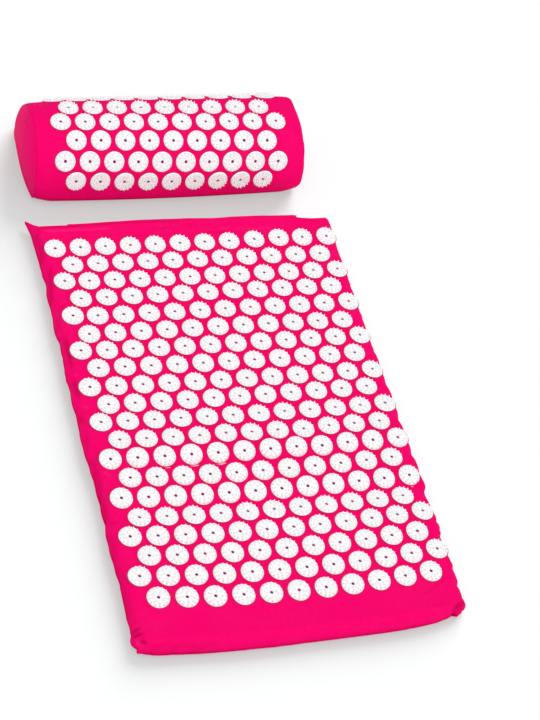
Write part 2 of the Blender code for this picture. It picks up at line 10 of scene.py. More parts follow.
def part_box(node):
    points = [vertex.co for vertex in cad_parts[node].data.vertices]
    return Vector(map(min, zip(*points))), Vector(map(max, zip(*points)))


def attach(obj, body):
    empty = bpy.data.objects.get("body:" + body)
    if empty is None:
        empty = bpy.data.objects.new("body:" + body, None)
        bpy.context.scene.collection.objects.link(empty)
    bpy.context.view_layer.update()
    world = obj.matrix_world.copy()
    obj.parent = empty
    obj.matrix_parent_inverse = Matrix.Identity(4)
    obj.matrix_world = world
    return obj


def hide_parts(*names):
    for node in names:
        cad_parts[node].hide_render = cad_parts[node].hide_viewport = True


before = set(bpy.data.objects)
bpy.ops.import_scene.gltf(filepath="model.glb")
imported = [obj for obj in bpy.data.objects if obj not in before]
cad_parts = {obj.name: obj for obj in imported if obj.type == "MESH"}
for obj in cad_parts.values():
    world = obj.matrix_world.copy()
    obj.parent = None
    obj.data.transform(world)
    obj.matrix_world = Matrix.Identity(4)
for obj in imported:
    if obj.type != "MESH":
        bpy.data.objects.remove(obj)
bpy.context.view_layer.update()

# Lengths are metres, in the frame's axes: X across the mat, Y towards the pillow, Z up.

studio = {
    "cameraPlace": (-0.8552, -1.6450, 2.1559),
    "cameraTurn": (40.9767, -11.8106, -14.5753),   # degrees
    "lens": 118.04,
    "skyLight": 0.39,
    # degrees from straight down; the fill lights everything, the key only shows on the floor
    "lamps": {"fill": {"turn": (18.0, 0.0, 4.0), "spread": 140.0, "power": 2.20},
              "key": {"turn": (61.0, 0.0, 142.0), "spread": 44.0, "power": 8.2}},
    "floorOwnLight": 0.42,                         # share of the floor that shows plain white
    "floorSize": 6.0,
    "floorColour": (0.438, 0.45, 0.45, 1.0),
}

white = (1.0, 1.0, 1.0, 1.0)


def ease(t):
    t = min(1.0, max(0.0, t))
    return t * t * (3 - 2 * t)


def hump(distance, width):
    # 1 at nought, falling smoothly to nothing at the width
    return 1 - ease(abs(distance) / width)


def mix(a, b, share):
    return a + (b - a) * share


def curve(values, t):
    # Smooth through the left, middle and right values, for t from -1 to 1
    left, middle, right = values
    return middle + (right - left) / 2 * t + ((right + left) / 2 - middle) * t * t


def grain(x, y, size, seed=0.0):
    return noise.noise(Vector((x / size, y / size, seed)))


class Wire:
    # One output socket; a sum written with it adds Math nodes
    def __init__(self, shade, socket):
        self.shade = shade
        self.socket = socket

    def maths(self, operation, *values, clamp=False):
        settings = {"operation": operation, "use_clamp": clamp}
        return self.shade.node("ShaderNodeMath", settings, dict(enumerate(values)))

    def __add__(self, other):
        return self.maths("ADD", self, other)

    def __radd__(self, other):
        return self.maths("ADD", other, self)

    def __sub__(self, other):
        return self.maths("SUBTRACT", self, other)

    def __rsub__(self, other):
        return self.maths("SUBTRACT", other, self)

    def __mul__(self, other):
        return self.maths("MULTIPLY", self, other)

    def __rmul__(self, other):
        return self.maths("MULTIPLY", other, self)

    def wave(self):
        return self.maths("SINE", self)

    def size(self):
        return self.maths("ABSOLUTE", self)

    def held(self):
        return self.maths("ADD", self, 0.0, clamp=True)


class Shade:
    # The nodes of one material or world
    def __init__(self, owner, output="ShaderNodeOutputMaterial"):
        self.owner = owner
        self.output = output
        owner.use_nodes = True
        self.tree = owner.node_tree
        self.tree.nodes.clear()

    def node(self, kind, settings=None, inputs=None, outputs=0):
        made = self.tree.nodes.new(kind)
        for name, value in (settings or {}).items():
            if name == "stops":
                self.fillRamp(made.color_ramp, value)
            else:
                setattr(made, name, value)
        for key, value in (inputs or {}).items():
            if isinstance(value, Wire):
                self.tree.links.new(value.socket, made.inputs[key])
            else:
                made.inputs[key].default_value = value
        if isinstance(outputs, tuple):
            return [Wire(self, made.outputs[key]) for key in outputs]
        return Wire(self, made.outputs[outputs])

    def fillRamp(self, ramp, stops):
        while len(ramp.elements) < len(stops):
            ramp.elements.new(0.5)
        for element, (place, colour) in zip(ramp.elements, stops):
            element.position = place
            element.color = colour

    def finish(self, surface):
        out = self.tree.nodes.new(self.output)
        self.tree.links.new(surface.socket, out.inputs["Surface"])
        return self.owner

    def cover(self, colour, rough, normal, gloss=0.5, more=None):
        # What varies over a surface comes first; gloss and more are the same all over it
        inputs = {"Base Color": colour, "Roughness": rough, "Normal": normal,
                  "Specular IOR Level": gloss, **(more or {})}
        return self.finish(self.node("ShaderNodeBsdfPrincipled", None, inputs))

    def plainlySeen(self):
        # 1 to the camera and in what metal or glass shows, nought for the light on the pieces
        seen, gloss, through = self.node("ShaderNodeLightPath", outputs=(
            "Is Camera Ray", "Is Glossy Ray", "Is Transmission Ray"))
        return (seen + gloss + through).held()

    def place(self, layer=None):
        # Metres along the cloth where the piece has a layer of them, else metres in space
        if layer:
            return self.node("ShaderNodeUVMap", {"uv_map": layer})
        return self.node("ShaderNodeTexCoord", outputs="Object")

    def scaled(self, place, size):
        return self.node("ShaderNodeVectorMath", {"operation": "SCALE"},
                         {0: place, "Scale": 1 / size})

    def noise(self, place, size, detail=2.0, rough=0.5):
        return self.node("ShaderNodeTexNoise", None,
                         {"Vector": self.scaled(place, size), "Scale": 1.0,
                          "Detail": detail, "Roughness": rough}, outputs=0)

    def blend(self, share, first, second):
        return self.node("ShaderNodeMix", {"data_type": "RGBA"},
                         {0: share, 6: first, 7: second}, outputs=2)

    def bump(self, height, distance, strength=1.0, normal=None):
        inputs = {"Height": height, "Distance": distance, "Strength": strength}
        if normal:
            inputs["Normal"] = normal
        return self.node("ShaderNodeBump", None, inputs)


def newMaterial(name):
    return Shade(bpy.data.materials.new(name))


cottonLook = {
    "colour": (0.925, 0.0008, 0.148, 1.0),
    "bright": (0.950, 0.0080, 0.186, 1.0),
    "worn": (0.860, 0.0003, 0.108, 1.0),
    "thread": 0.00052,      # one thread of the plain weave
    "slub": 0.0045,
    "cloud": 0.045,
    "roughness": 0.88,
    "gloss": 0.015,
    "fuzz": 0.014,
    "endFuzz": 0.15,        # on the pillow's end panels
    "paintedShadeTone": 0.93,     # painted shade: the end panels and the undersides are darker copies of the cotton
    "fuzzTint": (1.0, 0.30, 0.52, 1.0),
    "weaveDepth": 0.00009,
    "slubDepth": 0.00022,
    # painted shade in the creases and painted highlight on the ridges, mixed into the cloth's colour
    "foldPaintedShade": (0.40, 0.0004, 0.040, 1.0),
    "ridgePaintedHighlight": (1.0, 0.035, 0.26, 1.0),
}


def cottonFinish(name, layer="cloth", paintedShade=1.0, fuzz=None):
    shade = newMaterial(name)
    look = cottonLook
    place = shade.place(layer)
    across, along = shade.node("ShaderNodeSeparateXYZ", None, {0: place}, ("X", "Y"))
    turns = math.pi / look["thread"]
    warp = (across * turns).wave()
    weft = (along * turns).wave()
    over = (warp * weft * 4.0 + 0.5).held()
    weave = over * warp.size() + (1 - over) * weft.size()
    slub = shade.noise(place, look["slub"], 3.0, 0.6)
    cloud = shade.noise(place, look["cloud"], 3.0, 0.55)
    fleck = shade.noise(place, look["thread"] * 2.4, 1.0, 0.5)
    tint = shade.blend(((slub - 0.5) * 1.5 + (fleck - 0.5) * 0.8 + 0.5).held(),
                       look["worn"], look["bright"])
    body = shade.blend(((cloud - 0.5) * 1.6 + 0.35).held(), look["colour"], tint)
    # painted shade: the copies for the end panels and the undersides are multiplied darker here
    shadedBody = shade.node("ShaderNodeMix", {"data_type": "RGBA", "blend_type": "MULTIPLY"},
                       {0: 1.0, 6: body, 7: (paintedShade, paintedShade, paintedShade, 1.0)}, outputs=2)
    # painted shade in the creases and painted highlight on the ridges, from the folds attribute
    folds = shade.node("ShaderNodeAttribute", {"attribute_name": "folds"}, outputs="Fac")
    deep = (folds * (0.7 + slub * 0.6)).held()
    shadedBody = shade.blend(deep, shadedBody, look["foldPaintedShade"])
    shadedBody = shade.blend((folds * -1).held(), shadedBody, look["ridgePaintedHighlight"])
    rough = look["roughness"] - weave * 0.06 + (slub - 0.5) * 0.08
    normal = shade.bump(slub, look["slubDepth"], 0.6)
    normal = shade.bump(weave + fleck * 0.5, look["weaveDepth"], 0.7, normal)
    return shade.cover(shadedBody, rough, normal, look["gloss"], {
        "Sheen Weight": look["fuzz"] if fuzz is None else fuzz,
        "Sheen Roughness": 0.5, "Sheen Tint": look["fuzzTint"]})


discLook = {
    "colour": (0.972, 0.955, 0.980, 1.0),
    "warm": (0.958, 0.935, 0.968, 1.0),
    "roughness": 0.60,
    "glow": 0.50,           # share of the light that passes through the plastic's skin
    "glowReach": 0.0020,
    "grainSize": 0.0016,
    "grainDepth": 0.00003,
    "flow": 0.012,
    # painted shade: dark cloth in the middle hole, and a painted contact shadow round the rim, light
    # and dark
    "eye": ((0.30, 0.004, 0.080, 1.0), (0.22, 0.002, 0.05, 1.0)),
    "rim": ((0.64, 0.012, 0.115, 1.0), (0.52, 0.006, 0.090, 1.0)),
    "paintedShadeGrain": 0.0009,
}


def discFinish():
    shade = newMaterial("whiteDiscPlastic")
    look = discLook
    place = shade.place()
    flow = shade.noise(place, look["flow"], 2.0, 0.5)
    fine = shade.noise(place, look["grainSize"], 2.0, 0.6)
    body = shade.blend(((flow - 0.5) * 1.6 + 0.4).held(), look["colour"], look["warm"])
    rough = look["roughness"] + (fine - 0.5) * 0.14
    return shade.cover(body, rough, shade.bump(fine, look["grainDepth"], 0.5), 0.2, {
        "Subsurface Weight": look["glow"], "Subsurface Radius": (1.0, 1.0, 1.0),
        "Subsurface Scale": look["glowReach"]})


def paintedShadeClothFinish(name, colours):
    # Painted shade on cloth at a disc: in its middle hole, and a painted contact shadow round its rim
    shade = newMaterial(name)
    place = shade.place()
    fine = shade.noise(place, discLook["paintedShadeGrain"], 2.0, 0.6)
    body = shade.blend((fine * 1.2 - 0.1).held(), *colours)
    return shade.cover(body, 0.7, shade.bump(fine, 0.0001, 0.5), 0.2)


foamLook = {
    "colour": (0.86, 0.84, 0.74, 1.0),
    "aged": (0.80, 0.76, 0.62, 1.0),
    # painted shade in the foam's pores
    "paintedPoreShade": (0.62, 0.58, 0.46, 1.0),
    "cloud": 0.03,
    "cell": 0.0014,
    "cellDepth": 0.0005,
    "roughness": 0.95,
}


def foamFinish():
    shade = newMaterial("creamFoam")
    look = foamLook
    place = shade.place()
    cells = shade.node("ShaderNodeTexVoronoi", {"feature": "F1"},
                       {"Vector": shade.scaled(place, look["cell"]), "Scale": 1.0})
    cloud = shade.noise(place, look["cloud"], 3.0, 0.5)
    body = shade.blend(((cloud - 0.5) * 1.5 + 0.5).held(), look["colour"], look["aged"])
    # painted shade: darker where the cells are pitted
    paintedPoreShade = shade.blend((1 - cells * 1.3).held(), body, look["paintedPoreShade"])
    return shade.cover(paintedPoreShade, look["roughness"], shade.bump(cells, look["cellDepth"], 0.8), 0.1)


# Two colours each, and the size of what runs over them
zipFinishes = {
    # the tape's dark colour is painted shade between its ribs, the light one is on the ribs
    "tape": ((0.60, 0.001, 0.075, 1.0), (0.86, 0.003, 0.125, 1.0)),
    "tapeRib": 0.0007,
    "tapeYarn": 0.0009,
    "nylon": ((0.84, 0.003, 0.12, 1.0), (0.95, 0.012, 0.18, 1.0)),
    "nylonGrain": 0.0012,
    "nickel": ((0.62, 0.61, 0.60, 1.0), (0.76, 0.755, 0.75, 1.0)),
    "nickelWear": 0.004,
    "nickelGrain": 0.0006,
    "thread": ((0.92, 0.02, 0.2, 1.0), (1.0, 0.09, 0.32, 1.0)),
    "threadTwist": 0.0004,
}


def tapeFinish():
    shade = newMaterial("pinkZipTape")
    look = zipFinishes
    place = shade.place()
    across, up = shade.node("ShaderNodeSeparateXYZ", None, {0: place}, ("X", "Z"))
    rib = ((up * (math.pi / look["tapeRib"])).wave()).size()
    yarn = ((across * (math.pi / look["tapeYarn"])).wave()).size()
    fine = shade.noise(place, 0.002, 2.0, 0.5)
    # painted shade: darker between the ribs, lighter on them
    body = shade.blend((rib * 0.5 + fine * 0.4).held(), *look["tape"])
    return shade.cover(body, 0.8 - rib * 0.08, shade.bump(rib + yarn * 0.6, 0.00012, 0.8), 0.2)


def nylonFinish():
    shade = newMaterial("pinkZipNylon")
    fine = shade.noise(shade.place(), zipFinishes["nylonGrain"], 2.0, 0.5)
    body = shade.blend(fine, *zipFinishes["nylon"])
    return shade.cover(body, 0.48 + fine * 0.12, shade.bump(fine, 0.00003, 0.5), 0.22)


def nickelFinish():
    shade = newMaterial("nickelZipMetal")
    place = shade.place()
    wear = shade.noise(place, zipFinishes["nickelWear"], 4.0, 0.65)
    fine = shade.noise(place, zipFinishes["nickelGrain"], 2.0, 0.6)
    body = shade.blend(((wear - 0.5) * 2 + 0.5).held(), *zipFinishes["nickel"])
    return shade.cover(body, 0.2 + wear * 0.22, shade.bump(fine, 0.00002, 0.6),
                       more={"Metallic": 1.0})


def threadFinish():
    shade = newMaterial("pinkThread")
    twist = shade.noise(shade.place(), zipFinishes["threadTwist"], 1.0, 0.5)
    body = shade.blend(twist, *zipFinishes["thread"])
    return shade.cover(body, 0.55 + twist * 0.2, shade.bump(twist, 0.0001, 0.6))


print("finishes")
cotton = cottonFinish("hotPinkCotton")
# darker copies for the undersides and the pillow's ends: painted shade
cottonSolePaintedShade = cottonFinish("hotPinkCottonSolePaintedShade", paintedShade=cottonLook["paintedShadeTone"])
cottonEndPaintedShade = cottonFinish("hotPinkCottonEndPaintedShade", paintedShade=cottonLook["paintedShadeTone"],
                         fuzz=cottonLook["endFuzz"])
whiteDisc = discFinish()
eyePaintedShade = paintedShadeClothFinish("eyePaintedShadeCotton", discLook["eye"])
rimPaintedShadow = paintedShadeClothFinish("rimPaintedShadowCotton", discLook["rim"])
creamFoam = foamFinish()
zipTape = tapeFinish()
zipNylon = nylonFinish()
zipNickel = nickelFinish()
pinkThread = threadFinish()


def addPiece(name, work, finishes, body, nodes=(), sharp=None, closed=True):
    # Turns a filled bmesh into a piece that rides on a body of the frame
    if closed:
        bmesh.ops.recalc_face_normals(work, faces=work.faces)
    mesh = bpy.data.meshes.new(name)
    work.to_mesh(mesh)
    work.free()
    for finish in finishes:
        mesh.materials.append(finish)
    mesh.shade_smooth()
    if sharp:
        mesh.set_sharp_from_angle(angle=math.radians(sharp))
    made = bpy.data.objects.new(name, mesh)
    bpy.context.scene.collection.objects.link(made)
    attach(made, body)
    if nodes:
        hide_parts(*nodes)
    return made


def clothGrid(work, rows, flats, closed=False, flip=False):
    # Quads between rows of places, with metres along the cloth as their UV layer
    layer = work.loops.layers.uv.get("cloth") or work.loops.layers.uv.new("cloth")
    grid = [[work.verts.new(place) for place in row] for row in rows]
    for j in range(len(grid) - 1):
        count = len(grid[j])
        for i in range(count if closed else count - 1):
            k = (i + 1) % count
            corners = [(j, i), (j, k), (j + 1, k), (j + 1, i)]
            if flip:
                corners.reverse()
            face = work.faces.new([grid[a][b] for a, b in corners])
            for loop, (a, b) in zip(face.loops, corners):
                loop[layer].uv = flats[a][b]
    return grid


def paintFoldShade(made, paintedShadeAt):
    # Painted shade for the cloth's colour at each point, from the creases; below nought a painted
    # highlight on a ridge
    layer = made.data.attributes.new("folds", "FLOAT", "POINT")
    layer.data.foreach_set("value", [paintedShadeAt(vertex.co) for vertex in made.data.vertices])


def thicken(made, thickness):
    skin = made.modifiers.new("cloth", "SOLIDIFY")
    skin.thickness = thickness
    skin.offset = -1.0
    skin.use_even_offset = False


# Discs

disc = {
    "radius": 0.0136,
    "thickness": 0.0024,
    "edgeRound": 0.0021,
    "edgeStand": 0.0001,
    "eyeRadius": 0.0021,
    "eyeWell": 0.0004,
    "sides": 36,
    "finishes": {"plastic": 0, "eye": 1, "rim": 2},
    "clothRings": 4,               # of the profile, from below, coloured as a painted contact shadow
    "lift": 0.0003,
    "lip": 0.0010,                 # rim round the foot, coloured as a painted contact shadow
    "spikeHeight": 0.0028,
    "spikeFoot": 0.00120,
    "spikeTip": 0.00045,
    "spikeSides": 7,
    "spikeRings": ((14, 0.0114, 0.0), (9, 0.0081, 0.35), (4, 0.0048, 0.4)),   # how many, radius, turn
    "solidReach": (0.01407, 0.01249),   # how far the frame's discs reach in X and Y
    "hold": 0.0060,                # how far past its rim a disc holds the cloth flat
    "holdDepth": 0.008,            # and how far above and below it
    "square": 0.034,               # side of the squares that sort the discs for look-ups
}


def discProfile():
    # Under the rim, over its rounded edge and in to the eye
    r, h, e, z = disc["radius"], disc["thickness"], disc["edgeRound"], disc["edgeStand"]
    eye, lip = disc["eyeRadius"], disc["lip"]
    turns = [math.pi / 2 * mix(0.22, 1, k / 4) for k in range(5)]
    return [(r * 0.55, -0.0010), (r + lip, -0.0010), (r + lip * 0.85, 0.00005),
            (r - 0.00005, 0.0001)] \
        + [(r - e + e * math.cos(a), z + (h - z) * math.sin(a)) for a in turns] \
        + [(eye + 0.0007, h), (eye + 0.0002, h - 0.0001), (eye, h - 0.0004)]


def joinRings(work, low, high, finish=0):
    count = len(low)
    for i in range(count):
        j = (i + 1) % count
        work.faces.new((low[i], low[j], high[j], high[i])).material_index = finish


def addDisc(work, place, turn):
    # One disc with its eye and its points; place is the frame on the cloth under its middle
    sides, finishes = disc["sides"], disc["finishes"]
    spun = place @ Matrix.Rotation(turn, 4, "Z")

    def ring(radius, height):
        return [work.verts.new(spun @ Vector((radius * math.cos(a), radius * math.sin(a), height)))
                for a in (math.tau * i / sides for i in range(sides))]

    rings = [ring(radius, height) for radius, height in discProfile()]
    rings.append(ring(disc["eyeRadius"], disc["eyeWell"]))
    for k, (low, high) in enumerate(zip(rings, rings[1:])):
        # the lowest rings round the foot take the painted contact shadow
        joinRings(work, low, high, finishes["rim" if k < disc["clothRings"] else "plastic"])
    work.faces.new(list(reversed(rings[0]))).material_index = finishes["rim"]
    # the floor of the eye takes the painted shade of the hole
    work.faces.new(rings[-1]).material_index = finishes["eye"]
    for count, radius, offset in disc["spikeRings"]:
        for i in range(count):
            a = math.tau * (i + offset) / count
            addSpike(work, spun @ Matrix.Translation(
                (radius * math.cos(a), radius * math.sin(a), disc["thickness"])))


def addSpike(work, place):
    # A moulded point: a flared foot, a straight cone and a small blunt tip
    sides = disc["spikeSides"]
    foot, tip, height = disc["spikeFoot"], disc["spikeTip"], disc["spikeHeight"]
    shape = ((foot, -0.0007), (foot * 0.84, height * 0.14), (foot * 0.62, height * 0.55),
             (tip, height * 0.94))
    rings = [[work.verts.new(place @ Vector((radius * math.cos(a), radius * math.sin(a), rise)))
              for a in (math.tau * i / sides for i in range(sides))] for radius, rise in shape]
    for low, high in zip(rings, rings[1:]):
        joinRings(work, low, high)
    point = work.verts.new(place @ Vector((0, 0, height)))
    last = rings[-1]
    for i in range(sides):
        work.faces.new((last[i], last[(i + 1) % sides], point))
    work.faces.new(list(reversed(rings[0])))


def buildDiscs(frames, body):
    # One piece for each row, as the CAD has them
    rows = {}
    for found in frames:
        rows.setdefault(found["node"], []).append(found)
    for node, found in rows.items():
        work = bmesh.new()
        for one in found:
            addDisc(work, one["place"] @ Matrix.Translation((0, 0, disc["lift"])), one["turn"])
        prefix, number = node.split("_disc_row_")
        addPiece(f"{prefix}Discs{number}", work, [whiteDisc, eyePaintedShade, rimPaintedShadow], body, [node],
                 sharp=38)


def sortDiscs(frames):
    found = {}
    for frameOfDisc in frames:
        key = tuple(math.floor(c / disc["square"]) for c in frameOfDisc["middle"])
        found.setdefault(key, []).append(frameOfDisc)
    return found


def pressToDiscs(place, squares):
    # The cloth lies flat on the back of each disc; returns its place and how firmly it is held
    key = [math.floor(c / disc["square"]) for c in place]
    near = (-1, 0, 1)
    pull, total, most = Vector(), 0.0, 0.0
    for i, j, k in ((i, j, k) for i in near for j in near for k in near):
        for found in squares.get((key[0] + i, key[1] + j, key[2] + k), ()):
            normal = found["normal"]
            offset = place - found["middle"]
            rise = offset.dot(normal)
            reach = ((offset - normal * rise).length - disc["radius"]) / disc["hold"]
            if reach >= 1 or abs(rise) > disc["holdDepth"]:
                continue
            hold = 1 - ease(reach)
            weight = (1 - max(0.0, reach)) ** 2
            weight = weight / (1.02 - weight)
            pull -= normal * (rise * weight)
            total += weight
            most = max(most, hold)
    if not total:
        return place, 0.0
    return place + pull / total * most, most


# Mat

